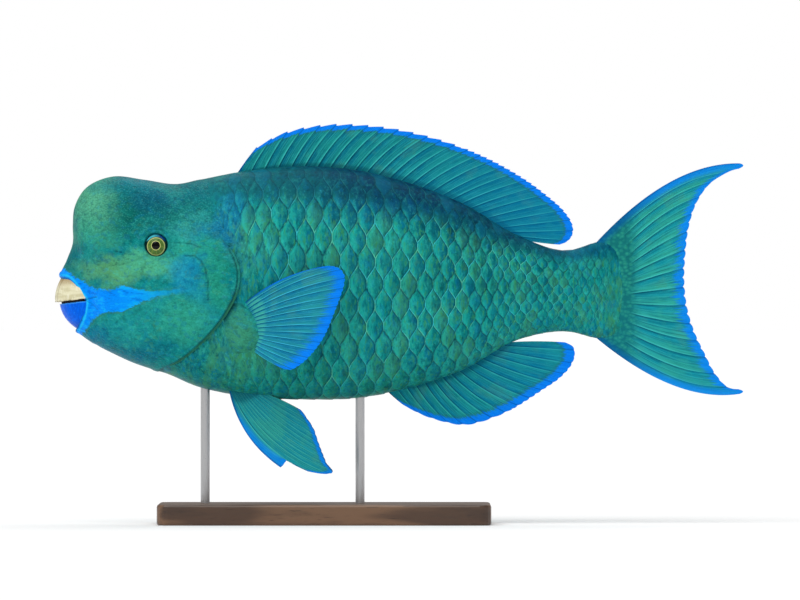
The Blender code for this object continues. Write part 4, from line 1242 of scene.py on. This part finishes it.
# %% The fins' outlines
# How many rays, how much closer they stand at the rear, the root and rim lines, the bows of the
# first, middle and last ray as shares of their length, and in mm how far the root is sunk, the
# thickness there, the height of a ray's ridge, and the depth of the rim's notches.
Fin = namedtuple("Fin", "rays crowd root rim bows sink thick ridge notch")
FINS = {
    "dorsal_fin": Fin(
        28, 0.25,
        [(0.160, 0.1030), (0.192, 0.1078), (0.225, 0.1090), (0.258, 0.1062), (0.308, 0.0946),
         (0.357, 0.0758), (0.385, 0.0600), (0.413, 0.0430)],
        [(0.176, 0.1250), (0.196, 0.1360), (0.231, 0.1440), (0.273, 0.1440), (0.329, 0.1335),
         (0.385, 0.1115), (0.427, 0.0845), (0.4450, 0.0680), (0.4500, 0.0605), (0.4520, 0.0538),
         (0.4505, 0.0465), (0.4455, 0.0416), (0.4400, 0.0396)],
        (0.02, 0.10, -0.02), 5.0, 3.0, 1.0, 1.9),
    "anal_fin": Fin(
        16, 0.10,
        [(0.2910, -0.0890), (0.3235, -0.0815), (0.3410, -0.0755), (0.3600, -0.0675),
         (0.3800, -0.0565), (0.3990, -0.0455)],
        [(0.3045, -0.1010), (0.3200, -0.1090), (0.3380, -0.1150), (0.3550, -0.1180),
         (0.3880, -0.1095), (0.4260, -0.0870), (0.4410, -0.0765), (0.4505, -0.0655),
         (0.4535, -0.0570), (0.4520, -0.0495), (0.4450, -0.0455)],
        (-0.02, -0.10, 0.02), 5.0, 3.0, 1.0, 1.9),
    "caudal_fin": Fin(
        16, 0.0,
        [(0.4740, 0.0410), (0.4860, 0.0370), (0.4940, 0.0260), (0.4960, 0.0080),
         (0.4960, -0.0080), (0.4940, -0.0260), (0.4860, -0.0370), (0.4740, -0.0410)],
        [(0.5985, 0.1113), (0.6000, 0.1096), (0.5870, 0.1030), (0.5720, 0.0935),
         (0.5600, 0.0770), (0.5530, 0.0560), (0.5500, 0.0330), (0.5490, 0.0060),
         (0.5520, -0.0180), (0.5580, -0.0370), (0.5670, -0.0560), (0.5760, -0.0730),
         (0.5870, -0.0848), (0.6000, -0.0892), (0.5985, -0.0912)],
        (0.11, 0.0, -0.11), 6.0, 4.6, 1.3, 1.6),
    "pectoral_fin": Fin(
        16, 0.0,
        [(0.1640, -0.0148), (0.1705, -0.0270), (0.1735, -0.0390), (0.1725, -0.0505)],
        seen_line((322, 267), (333, 266.3), (340.5, 269), (345, 275.5), (344.8, 284), (340.5, 298),
                  (334, 315), (325, 336), (313, 353), (300, 365), (291, 369.5), (284, 368.5)),
        (0.08, 0.02, -0.05), 5.0, 4.0, 1.0, 0.8),
    "pelvic_fin": Fin(
        7, 0.0,
        [(0.1540, -0.0880), (0.1660, -0.0890), (0.1800, -0.0895)],
        [(0.1975, -0.1550), (0.2398, -0.1600), (0.2365, -0.1510), (0.2330, -0.1420),
         (0.2295, -0.1325), (0.2250, -0.1200), (0.2150, -0.1050)],
        (-0.11, -0.08, 0.03), 5.0, 3.6, 1.1, 1.2),
}
MARGINS = {
    # lobes between two rays, share of a saw tooth in their form, power of the root's thickness
    "dorsal_fin": (1, 1.0, 6),
    "anal_fin": (1, 0.35, 6),
    "caudal_fin": (2, 0.0, 4),
    "pectoral_fin": (2, 0.0, 6),
    "pelvic_fin": (2, 0.2, 6),
}
COLUMNS_A_RAY = 12
FIN_ROWS = 36
MEMBRANE = 0.5
RAY_HALF = 0.13
FORK = 0.16
EVEN_BOW = 0.5
LATE_BOW = 0.64
PELVIC_CLEFT = 11.0
PECTORAL_SUNK = 7.0 * MM
PECTORAL_SPREAD = math.tan(math.radians(20))
PELVIC_APART = 13.0 * MM
PELVIC_SPREAD = math.tan(math.radians(16))


def margin_notch(kind, across):
    """How far the margin falls short of the rim line: round lobes, or teeth like a saw's."""
    lobes, saw, _ = MARGINS[kind]
    if FINS[kind].crowd:
        lobes = np.where(across > 0.5 * across[-1], 2 * lobes, lobes)
    place = (across * lobes) % 1.0
    round_lobe = 1 - np.sin(math.pi * place) ** 0.7
    tooth = np.where(place < 0.10, place / 0.10, (1 - place) / 0.90)
    notch = FINS[kind].notch * MM * (saw * tooth + (1 - saw) * round_lobe)
    if kind == "pelvic_fin":
        notch = np.maximum(notch, PELVIC_CLEFT * MM * (1 - np.abs(across - 0.25) / 0.25))
    return notch


def fin_net(shape, across, along, notch):
    """Side-view points of the fin's net, and how far each lies beyond the root."""
    share = across / (shape.rays - 1)
    share = share * (1 + shape.crowd * (1 - share))
    root = spline(shape.root, share)
    if len(shape.rim) == shape.rays:
        tip = hermite(np.arange(shape.rays), shape.rim, across)
    else:
        tip = spline(shape.rim, share)
    way = tip - root
    length = np.linalg.norm(way, axis=1, keepdims=True)
    start = root - way / length * shape.sink * MM
    tip = tip - way / length * notch[:, None]
    lead, middle, trail = shape.bows
    bow = (1 - share) ** 2 * lead + 2 * share * (1 - share) * middle + share**2 * trail
    late = LATE_BOW if shape is FINS["caudal_fin"] else EVEN_BOW
    control = start + (tip - start) * late + np.stack(
        [-way[:, 1], way[:, 0]], axis=1) * bow[:, None] * 2
    a = along[None, :, None]
    points = (1 - a) ** 2 * start[:, None] + 2 * a * (1 - a) * control[:, None] + a**2 * tip[:, None]
    reach = np.sum((points - root[:, None]) * (way / length)[:, None], axis=2)
    return points, reach, root


def stand_off(kind, points, reach, root):
    """How far each point of a fin lies from the body's middle plane, on the left."""
    if kind == "pectoral_fin":
        flank = np.array([look_up(BODY, *find(*place))[1] for place in root])[:, None]
        sunk = PECTORAL_SUNK * (1 - ramp(reach, -5.0 * MM, 14.0 * MM))
        return flank + sunk - np.maximum(reach, 0) * PECTORAL_SPREAD
    if kind == "pelvic_fin":
        return -PELVIC_APART - (FINS[kind].root[0][1] - points[..., 1]) * PELVIC_SPREAD
    return np.zeros(points.shape[:2])


def thickness(shape, swell, across, along):
    """The sheet's thickness in mm: thick at the root, thin at the rim, ridged on each ray."""
    between = across % 1.0
    from_ray = np.minimum(between, 1 - between)[:, None]
    ridge = bell(from_ray - FORK * ramp(along, 0.45, 0.95)[None, :], RAY_HALF)
    return MEMBRANE * (1 - 0.4 * along) + shape.ridge * ridge * ramp(along, 0, 0.18) * (
        1 - 0.80 * along) + (shape.thick - MEMBRANE) * (1 - along) ** swell


def make_fin(name, kind, side):
    """One fin as a closed sheet. side is 1 on the left and middle, and -1 on the right."""
    shape = FINS[kind]
    across = np.linspace(0, shape.rays - 1, (shape.rays - 1) * COLUMNS_A_RAY + 1)
    along = np.linspace(0, 1, FIN_ROWS) ** 0.85
    notch = margin_notch(kind, across) * (1 + shape.crowd * (1 - 2 * across / across[-1]))
    if shape.crowd:
        notch = notch * (1 - 0.75 * ramp(across / across[-1], 0.80, 1.0))
    points, reach, root = fin_net(shape, across, along, notch)
    y = stand_off(kind, points, reach, root) * side
    fin, i, j = net(name, np.stack(in_frame(points[..., 0], points[..., 1], y), axis=-1))
    most = shape.thick + shape.ridge
    group = fin.vertex_groups.new(name="thickness")
    shares = thickness(shape, MARGINS[kind][2], across, along) / most
    for k, weight in enumerate(shares[i, j].tolist()):
        group.add([k], weight, "REPLACE")
    fin.data.uv_layers[0].name = "rays"
    keep_map(fin, "rays", np.stack([across[i], along[j]], axis=1))
    keep_value(fin, "share", (across / (shape.rays - 1))[i])
    keep_value(fin, "margin", (np.linalg.norm(points - points[:, -1:], axis=2))[i, j])
    apply(fin, "SOLIDIFY", thickness=most * MM, offset=0.0, vertex_group=group.name)
    fin.vertex_groups.clear()
    tidy(fin, 70, 1e-7)
    return fin


print(len(FINS), "fin forms, with", sum(shape.rays for shape in FINS.values()), "rays")


# %% [markdown]
# ## The look of a fin
#
# Between the rays the membrane is blue-green, with painted shade beside each ray. Each ray has
# thin pale lines of painted highlight, which split in two towards the rim, and a bright blue band
# edges the fin.
# The tones and the width of that band differ from fin to fin, so they are given to one recipe.

# %% Fin recipe
# painted shade beside each ray
RAY_SHADE = (0.001, 0.040, 0.070)
# painted shadow where a fin's root meets the body
ROOT_SHADOW = (0.001, 0.045, 0.070)
REAR_TONE = (0.001, 0.190, 0.440)
def fin_finish(name, membrane, dark, green, line, band, band_width, soft, lead=0.0, trail=0.0,
               line_strength=0.7, splits=1, root_shadow=0.55, dots=0.0, base=None, rear_blue=0.10):
    """A fin's material.

    membrane, dark, green and line are tones, line being the pale tone of the rays' painted
    highlights, and band is the blue of the edge, band_width metres wide and frayed as soft says.
    lead and trail are the shares of the fin that its first and last rays colour blue. line_strength
    is how clear the rays are, and splits how many lines a ray makes. The argument after splits is
    the strength of a painted shadow at the root, dots are pale knuckles there, base is the tone
    of a scaly root, and rear_blue is how blue the fin turns towards its rear.
    """
    f = Finish(name, **SHEEN)
    rays = f.attribute("rays", "Vector")
    across, along = f.part(rays, "X"), f.part(rays, "Y")
    silk = f.noise(1.0, 4.0, 0.6, vector=rays, stretch=(7.0, 1.3, 1.0))
    thread = f.noise(1.0, 4.0, 0.65, vector=rays, stretch=(24.0, 2.0, 1.0))
    hair = f.noise(1.0, 2.0, 0.6, vector=rays, stretch=(55.0, 5.0, 1.0))
    cloud = f.noise(40.0, 3.0)
    place = ((across + (silk - 0.5) * 0.10) * splits).fraction()
    half = ((across + (thread - 0.5) * 0.10) * (splits * 2)).fraction()
    # the pale line on each ray is a painted highlight
    ray_highlight = place.ease(0.86, 0.95) * silk.ease(0.34, 0.50) * line_strength
    colour = f.paint(
        membrane,
        (green, place.ease(0.15, 0.90) * (0.80 / splits)),
        (dark, silk.ease(0.48, 0.64) * 0.50),
        (green, cloud.ease(0.50, 0.64) * 0.50),
        ((0.090, 0.330, 0.110), cloud.ease(0.46, 0.34) * 0.25),
        ((0.030, 0.520, 0.620), thread.ease(0.53, 0.67) * 0.60),
        (dark, thread.ease(0.47, 0.33) * 0.75),
        (line, hair.ease(0.54, 0.68) * 0.45),
        # painted highlight on the finer lines, and painted shade beside them and beside each ray
        (line, half.ease(0.80, 0.94) * (0.30 * line_strength)),
        (RAY_SHADE, half.ease(0.16, 0.02) * 0.35),
        (RAY_SHADE, place.ease(0.20, 0.03) * (along.ease(0.95, 0.2) * 0.6 + 0.2)),
        (line, ray_highlight * (along.ease(1.0, 0.45) * 0.75 + 0.25)),
        # painted shadow at the root
        (ROOT_SHADOW, along.ease(0.17, 0.10) * root_shadow),
    )
    if base:
        small = f.cells(330.0, f.stretched(f.place(), (0.8, 0.0, 1.0)))
        scaly = f.paint(
            base,
            ((0.001, 0.095, 0.115), small.ease(0.35, 0.70) * 0.55),
            ((0.050, 0.420, 0.240), small.ease(0.34, 0.12) * 0.35),
        )
        colour = f.mix(colour, scaly, (along + (silk - 0.5) * 0.20).ease(0.30, 0.14))
    if dots:
        knuckle = along.ease(0.26, 0.20) * along.ease(0.10, 0.15) * place.ease(0.20, 0.50)
        colour = f.mix(colour, (0.060, 0.480, 0.400), knuckle * dots)
    share = f.attribute("share")
    strands = (silk - 0.5) * 0.8 + (thread - 0.5) * 1.2 + (hair - 0.5) * 0.5
    strands = strands + (abs(place - 0.5) - 0.25) * (soft * 0.8)
    margin = f.attribute("margin") / band_width + strands * (0.30 + soft * 9.0)
    blue = f.paint(
        band,
        ((0.001, 0.110, 0.520), thread.ease(0.47, 0.32) * 0.75),
        ((0.020, 0.430, 1.0), hair.ease(0.54, 0.68) * 0.55),
        # painted shade beside each ray, inside the blue band
        ((0.001, 0.090, 0.420), place.ease(0.16, 0.03) * 0.65),
        ((0.001, 0.070, 0.230), along.ease(0.50, 0.12) * 0.85),
    )
    edge = margin.ease(1.0 + soft, 0.92 - soft)
    for width, end in ((lead, share), (trail, 1 - share)):
        if width:
            side = (end + (silk - 0.5) * 0.050 + (thread - 0.5) * 0.050) / width
            edge = edge.most(side.ease(1.8, 0.1) * 0.9)
    edge = edge ** (1.0 + soft)
    colour = f.paint(
        colour,
        (REAR_TONE, share.ease(0.25, 0.95) * rear_blue + 0.06),
        ((0.020, 0.110, 0.040), margin.ease(1.45, 1.05) * max(0.5 - soft, 0)),
        (blue, edge * 0.96),
    )
    f.feed("Base Color", colour)
    f.feed("Roughness", silk * 0.3 + 0.30)
    f.bump(silk * 0.4 + thread * 0.8 + hair * 0.4, 0.0006, 0.6)
    return f.material


print("fin recipe over rays", COLUMNS_A_RAY, "columns apart")

# %% Five fin finishes
BAND = (0.002, 0.215, 1.0)

dorsal_look = fin_finish("dorsal_membrane", (0.002, 0.170, 0.250), (0.001, 0.080, 0.130),
                         (0.012, 0.290, 0.230), (0.050, 0.560, 0.500), BAND, 0.0066, 0.08,
                         lead=0.003, line_strength=0.90, rear_blue=0.45)
anal_look = fin_finish("anal_membrane", (0.002, 0.200, 0.310), (0.001, 0.085, 0.150),
                       (0.012, 0.320, 0.260), (0.050, 0.560, 0.520), BAND, 0.0092, 0.10,
                       line_strength=0.75, rear_blue=0.25)
caudal_look = fin_finish("caudal_membrane", (0.006, 0.290, 0.350), (0.001, 0.090, 0.120),
                         (0.036, 0.420, 0.270), (0.060, 0.600, 0.540), (0.004, 0.240, 0.900),
                         0.0080, 0.30, lead=0.060, trail=0.055, line_strength=0.75,
                         root_shadow=0.0, base=(0.016, 0.250, 0.190))
pectoral_look = fin_finish("pectoral_membrane", (0.005, 0.200, 0.370), (0.001, 0.075, 0.180),
                           (0.022, 0.310, 0.300), (0.060, 0.600, 0.900), (0.001, 0.215, 1.0),
                           0.0100, 0.28, lead=0.035, line_strength=0.90, root_shadow=0.0, dots=0.9)
pelvic_look = fin_finish("pelvic_membrane", (0.008, 0.280, 0.340), (0.001, 0.100, 0.170),
                         (0.040, 0.370, 0.230), (0.090, 0.640, 0.520), (0.003, 0.230, 0.850),
                         0.0048, 0.16, lead=0.055, line_strength=0.75, splits=2)
print("fin finishes:", *(look.name for look in (
    dorsal_look, anal_look, caudal_look, pectoral_look, pelvic_look)))

# %% The fins
for name, kind, nodes, side, look in (
    ("dorsal_fin_rays", "dorsal_fin", ["dorsal_fin"], 1, dorsal_look),
    ("anal_fin_rays", "anal_fin", ["anal_fin"], 1, anal_look),
    ("caudal_fin_rays", "caudal_fin", ["caudal_fin_upper", "caudal_fin_lower"], 1, caudal_look),
    ("pectoral_fin_rays_left", "pectoral_fin", ["pectoral_fin_left"], 1, pectoral_look),
    ("pectoral_fin_rays_right", "pectoral_fin", ["pectoral_fin_right"], -1, pectoral_look),
    ("pelvic_fin_rays_left", "pelvic_fin", ["pelvic_fin_left"], 1, pelvic_look),
    ("pelvic_fin_rays_right", "pelvic_fin", ["pelvic_fin_right"], -1, pelvic_look),
):
    finish_piece(make_fin(name, kind, side), look, "fin", *nodes)

# %% [markdown]
# ## Eyes
#
# A fish has no lids: the ball sits in a ring of skin. It is a flattened sphere, turned to look
# straight out of the flank. The iris is a set of rings round the pupil, and it lies a little
# low in the ball, so that a blue crescent of the ball shows above it. That crescent is painted
# paler in front and darker behind, as painted light and shade, and a dark ring of painted shade
# lies round the iris, under the socket's rim.

# %% Eyeballs
PUPIL_DROP = 0.10
IRIS_DROP = 0.15


def make_eye(name, side):
    """A flattened ball with a bulging front. side is 1 on the left and -1 on the right."""
    bpy.ops.object.select_all(action="DESELECT")
    bpy.ops.mesh.primitive_uv_sphere_add(segments=72, ring_count=40, radius=1.0)
    eye = bpy.context.active_object
    eye.name = eye.data.name = name
    ball = np.array([v.co for v in eye.data.vertices])
    keep_map(eye, "iris", ball[:, :2])
    shaped = ball * (EYE_RADIUS, EYE_RADIUS, EYE_DEPTH)
    shaped[:, 2] *= 1 + 0.06 * bell(np.hypot(ball[:, 0], ball[:, 1]), 0.55)
    turn = np.array(Vector(eye_normal).to_track_quat("Z", "Y").to_matrix())
    placed = shaped @ turn.T + np.array(eye_place) - np.array(eye_normal) * EYE_SUNK
    placed[:, 1] *= side
    eye.data.vertices.foreach_set("co", placed.ravel())
    tidy(eye, 80, 1e-7)
    return eye


f = Finish("parrotfish_eye", Roughness=0.12, Specular_IOR_Level=0.12, Coat_Weight=0.12,
           Coat_Roughness=0.03)
iris = f.attribute("iris", "Vector")
ix, iy = f.part(iris, "X"), f.part(iris, "Y")
radius = (ix * ix + (iy + PUPIL_DROP) * (iy + PUPIL_DROP)) ** 0.5
outer = (ix * ix + (iy + IRIS_DROP) * (iy + IRIS_DROP)) ** 0.5
spokes = f.noise(1.0, 4.0, 0.6, vector=f.node(
    "ShaderNodeVectorMath", {"operation": "NORMALIZE"}, {0: iris}), stretch=(11.0, 11.0, 11.0))
cloud = f.noise(1.0, 4.0, 0.7, vector=iris, stretch=(7.0, 7.0, 7.0))
# the crescent is painted paler in front and darker behind, as painted light and shade
crescent = f.mix((0.060, 0.480, 0.560), (0.002, 0.050, 0.200), ix.ease(-0.35, 0.45))
f.feed("Base Color", f.paint(
    (0.120, 0.230, 0.030),
    ((0.030, 0.110, 0.020), spokes.ease(0.42, 0.60)),
    ((0.190, 0.120, 0.030), cloud.ease(0.52, 0.62) * 0.55),
    ((0.020, 0.190, 0.120), cloud.ease(0.45, 0.34) * 0.55),
    ((0.010, 0.045, 0.012), radius.ease(0.47, 0.44) * radius.ease(0.40, 0.44) * 0.8),
    ((0.560, 0.620, 0.200), radius.ease(0.445, 0.415)),
    ((0.500, 0.560, 0.210), outer.ease(0.70, 0.745) * 0.85),
    # a dark ring of painted shade round the iris, under the socket's rim
    ((0.004, 0.030, 0.025), outer.ease(0.79, 0.82)),
    (crescent, outer.ease(0.85, 0.89) * iy.ease(0.25, 0.50)),
    ((0.0005, 0.0005, 0.001), radius.ease(0.385, 0.36)),
))
f.bump(spokes * radius.ease(0.35, 0.45), 0.0002, 0.4)
for name, side in (("eye_ball_left", 1), ("eye_ball_right", -1)):
    finish_piece(make_eye(name, side), f.material, "eye", name.replace("eye_ball", "eye"))

# %% [markdown]
# ## The beak
#
# The teeth of a parrotfish are fused into two plates. Each plate starts as a sphere, is
# stretched to its form and cut by planes: the bite line, and a plane inside the head. The
# cutting edge is then made ragged, and shallow grooves part the plate in the middle. The lining
# of the mouth that shows between the plates is made by the same function, a little smaller, and
# is coloured near black as painted shade inside the mouth.

# %% The form of a plate
BITE = ((0.0270, -0.0082), (-0.010, -0.0122))
PLATE_BACK = 0.0312
PLATES = {
    # centre, radii, drop below the bite line in mm, side that stays, raggedness in mm
    "upper": ((0.0340, -0.0080), (0.0340, 0.0212, 0.0340), -0.7, -1, 1.00),
    "lower": ((0.0360, -0.0080), (0.0322, 0.0208, 0.0300), 1.5, 1, 0.50),
    "lining": ((0.0375, -0.0080), (0.0320, 0.0195, 0.0300), -3.0, 1, 0.0),
}
GROOVES = [
    # depth, distance from the middle and width in mm
    (0.45, 0.0, 0.55),
    (0.20, 7.6, 0.50),
]


def make_plate(name, centre, radii, drop, keep_side, ragged):
    """A sphere cut at the bite line and inside the head, with a ragged cutting edge."""
    bpy.ops.object.select_all(action="DESELECT")
    bpy.ops.mesh.primitive_uv_sphere_add(segments=120, ring_count=90, radius=1.0)
    plate = bpy.context.active_object
    plate.name = plate.data.name = name
    middle = Vector(in_frame(*centre))
    plate.data.transform(Matrix.Translation(middle) @ Matrix.Diagonal((*radii, 1.0)))
    (x0, z0), (x1, z1) = BITE
    start = Vector(in_frame(x0, z0 - drop * MM))
    slope = Vector((z1 - z0, 0.0, x0 - x1)).normalized() * keep_side
    rear = Vector(in_frame(PLATE_BACK, 0.0))
    only(plate)
    bpy.ops.object.mode_set(mode="EDIT")
    for origin, facing in ((start, slope), (rear, Vector((1, 0, 0)))):
        bpy.ops.mesh.select_all(action="SELECT")
        bpy.ops.mesh.bisect(plane_co=origin, plane_no=facing, use_fill=True, clear_outer=True)
    bpy.ops.object.mode_set(mode="OBJECT")
    co = np.array([v.co for v in plate.data.vertices])
    up = -np.array(slope)
    from_bite = (co - np.array(start)) @ up
    side = co[:, 1] / MM
    teeth = np.sin(side * 2.1 + np.cos(side * 0.9)) * 0.5 + np.sin(side * 4.7 + 1.0) * 0.3
    front = np.clip((0.030 - side_view(co)[0]) / 0.02, 0, 1)
    co += up * ((ragged * MM * (teeth + 0.2) * np.exp(-from_bite / (1.4 * MM)))
                * (0.35 + 0.65 * front))[:, None]
    groove = sum(deep * bell(np.abs(side) - off, width) for deep, off, width in GROOVES)
    inward = unit(np.array(middle) - co)
    co += inward * (groove * MM * (from_bite > 0.1 * MM))[:, None]
    plate.data.vertices.foreach_set("co", co.ravel())
    keep_value(plate, "from_bite", from_bite)
    tidy(plate, 50, 1e-6)
    return plate


print(len(PLATES), "forms are cut along the bite line")

# %% Ivory plate
# a dark line along the middle groove and along each side groove of the plate
GROOVE_LINE_TONE = (0.240, 0.180, 0.080)

f = Finish("beak_ivory", Specular_IOR_Level=0.45, Coat_Weight=0.15, Coat_Roughness=0.20)
ridges_and_highlights = f.noise(1.0, 4.0, 0.6, stretch=(900.0, 900.0, 120.0))
bands = f.noise(1.0, 3.0, 0.5, stretch=(60.0, 60.0, 260.0))
high = f.attribute("from_bite")
off_middle = abs(f.axis("Y"))
f.feed("Base Color", f.paint(
    (0.800, 0.760, 0.520),
    ((0.640, 0.590, 0.360), bands.ease(0.42, 0.62)),
    # pale streaks are painted highlights along the fine ridges
    ((0.950, 0.920, 0.740), ridges_and_highlights.ease(0.50, 0.68) * 0.6),
    ((0.360, 0.230, 0.080), high.ease(0.010, 0.019) * 0.75),
    # darker along the bite edge: painted shade
    ((0.480, 0.400, 0.230), high.ease(0.0012, 0.0) * 0.5),
    (GROOVE_LINE_TONE, abs(off_middle - 0.0076).ease(0.0006, 0.0001) * 0.60),
    (GROOVE_LINE_TONE, off_middle.ease(0.0007, 0.0001) * 0.7),
))
f.feed("Roughness", bands * 0.2 + 0.22)
f.bump(ridges_and_highlights * 0.6 + bands * 0.6, 0.0003, 0.4)
finish_piece(make_plate("upper_beak_plate", *PLATES["upper"]), f.material, "beak", "upper_beak")

# %% Blue plate
f = Finish("beak_blue", Specular_IOR_Level=0.40, Specular_Tint=(0.02, 0.30, 1.0, 1.0))
ridges_and_highlights = f.noise(1.0, 4.0, 0.6, stretch=(800.0, 800.0, 160.0))
specks = f.noise(500.0, 2.0, 0.5)
high = f.attribute("from_bite")
f.feed("Base Color", f.paint(
    (0.001, 0.110, 0.760),
    # lighter streaks along the ridges: painted highlights
    ((0.001, 0.150, 0.920), ridges_and_highlights.ease(0.42, 0.62)),
    ((0.020, 0.300, 0.900), specks.ease(0.62, 0.74) * 0.5),
    ((0.001, 0.060, 0.400), high.ease(0.014, 0.024) * 0.7),
    # lighter along the bite edge: painted highlight
    ((0.060, 0.380, 0.920), high.ease(0.0014, 0.0002) * 0.7),
    ((0.001, 0.040, 0.260), abs(f.axis("Y")).ease(0.0007, 0.0001) * 0.7),
))
f.feed("Roughness", ridges_and_highlights * 0.2 + 0.26)
f.bump(ridges_and_highlights * 0.5 + specks * 0.5, 0.0003, 0.4)
finish_piece(make_plate("lower_beak_plate", *PLATES["lower"]), f.material, "lower_beak",
             "lower_beak")

# %% The lining of the mouth
f = Finish("shaded_mouth_lining", Roughness=0.7, Specular_IOR_Level=0.1)
# near black: painted shade inside the mouth
f.feed("Base Color", f.mix((0.010, 0.012, 0.016), (0.030, 0.022, 0.024), f.noise(500.0)))
f.bump(f.noise(700.0), 0.0003, 0.5)
finish_piece(make_plate("shaded_mouth_lining", *PLATES["lining"]), f.material, "lower_beak")

# %% [markdown]
# ## The stand
#
# The picture has no stand, so it stays plain: the CAD's base and rods keep their shape and only
# get materials. The base is dark walnut with its grain along the length, and the rods are
# brushed steel.

# %% Stand materials
f = Finish("walnut", Coat_Weight=0.25, Coat_Roughness=0.25)
grain_place = f.stretched(f.place(), (1.2, 9.0, 9.0))
grain = f.noise(9.0, 6.0, 0.62, vector=grain_place)
year_rings = f.node("ShaderNodeTexWave", {"wave_type": "BANDS", "bands_direction": "Y"}, {
    "Vector": grain_place, "Scale": 2.2, "Distortion": 9.0, "Detail": 3.0, "Detail Scale": 1.4},
    out="Fac")
pores = f.noise(1.0, 2.0, 0.5, stretch=(60.0, 900.0, 900.0))
f.feed("Base Color", f.paint(
    (0.075, 0.036, 0.018),
    ((0.175, 0.090, 0.045), year_rings.ease(0.2, 0.9)),
    ((0.040, 0.019, 0.010), grain.ease(0.50, 0.70) * 0.7),
    ((0.022, 0.011, 0.006), pores.ease(0.62, 0.72) * 0.7),
))
f.feed("Roughness", grain * 0.25 + 0.30)
f.bump(pores * -0.6 + grain * 0.3, 0.0003, 0.4)
walnut = f.material

f = Finish("brushed_steel", Metallic=1.0)
brushed = f.noise(1.0, 3.0, 0.5, stretch=(300.0, 300.0, 6000.0))
f.feed("Base Color", f.mix((0.52, 0.52, 0.53), (0.66, 0.66, 0.67), brushed))
f.feed("Roughness", brushed * 0.18 + 0.22)
f.bump(brushed, 0.0001, 0.3)
for name, look in (("stand_base", walnut), ("stand_rod_front", f.material),
                   ("stand_rod_rear", f.material)):
    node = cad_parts[name]
    node.data.materials.clear()
    node.data.materials.append(look)
    print(name, "is now", look.name)

# %% [markdown]
# ## Sizes and the end
#
# The box of the visual model is printed, in metres. The visual model has to stay inside
# the CAD model's box.

# %% Finish
low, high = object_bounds()
print("visual box in metres:", [round(b - a, 4) for a, b in zip(low, high)])
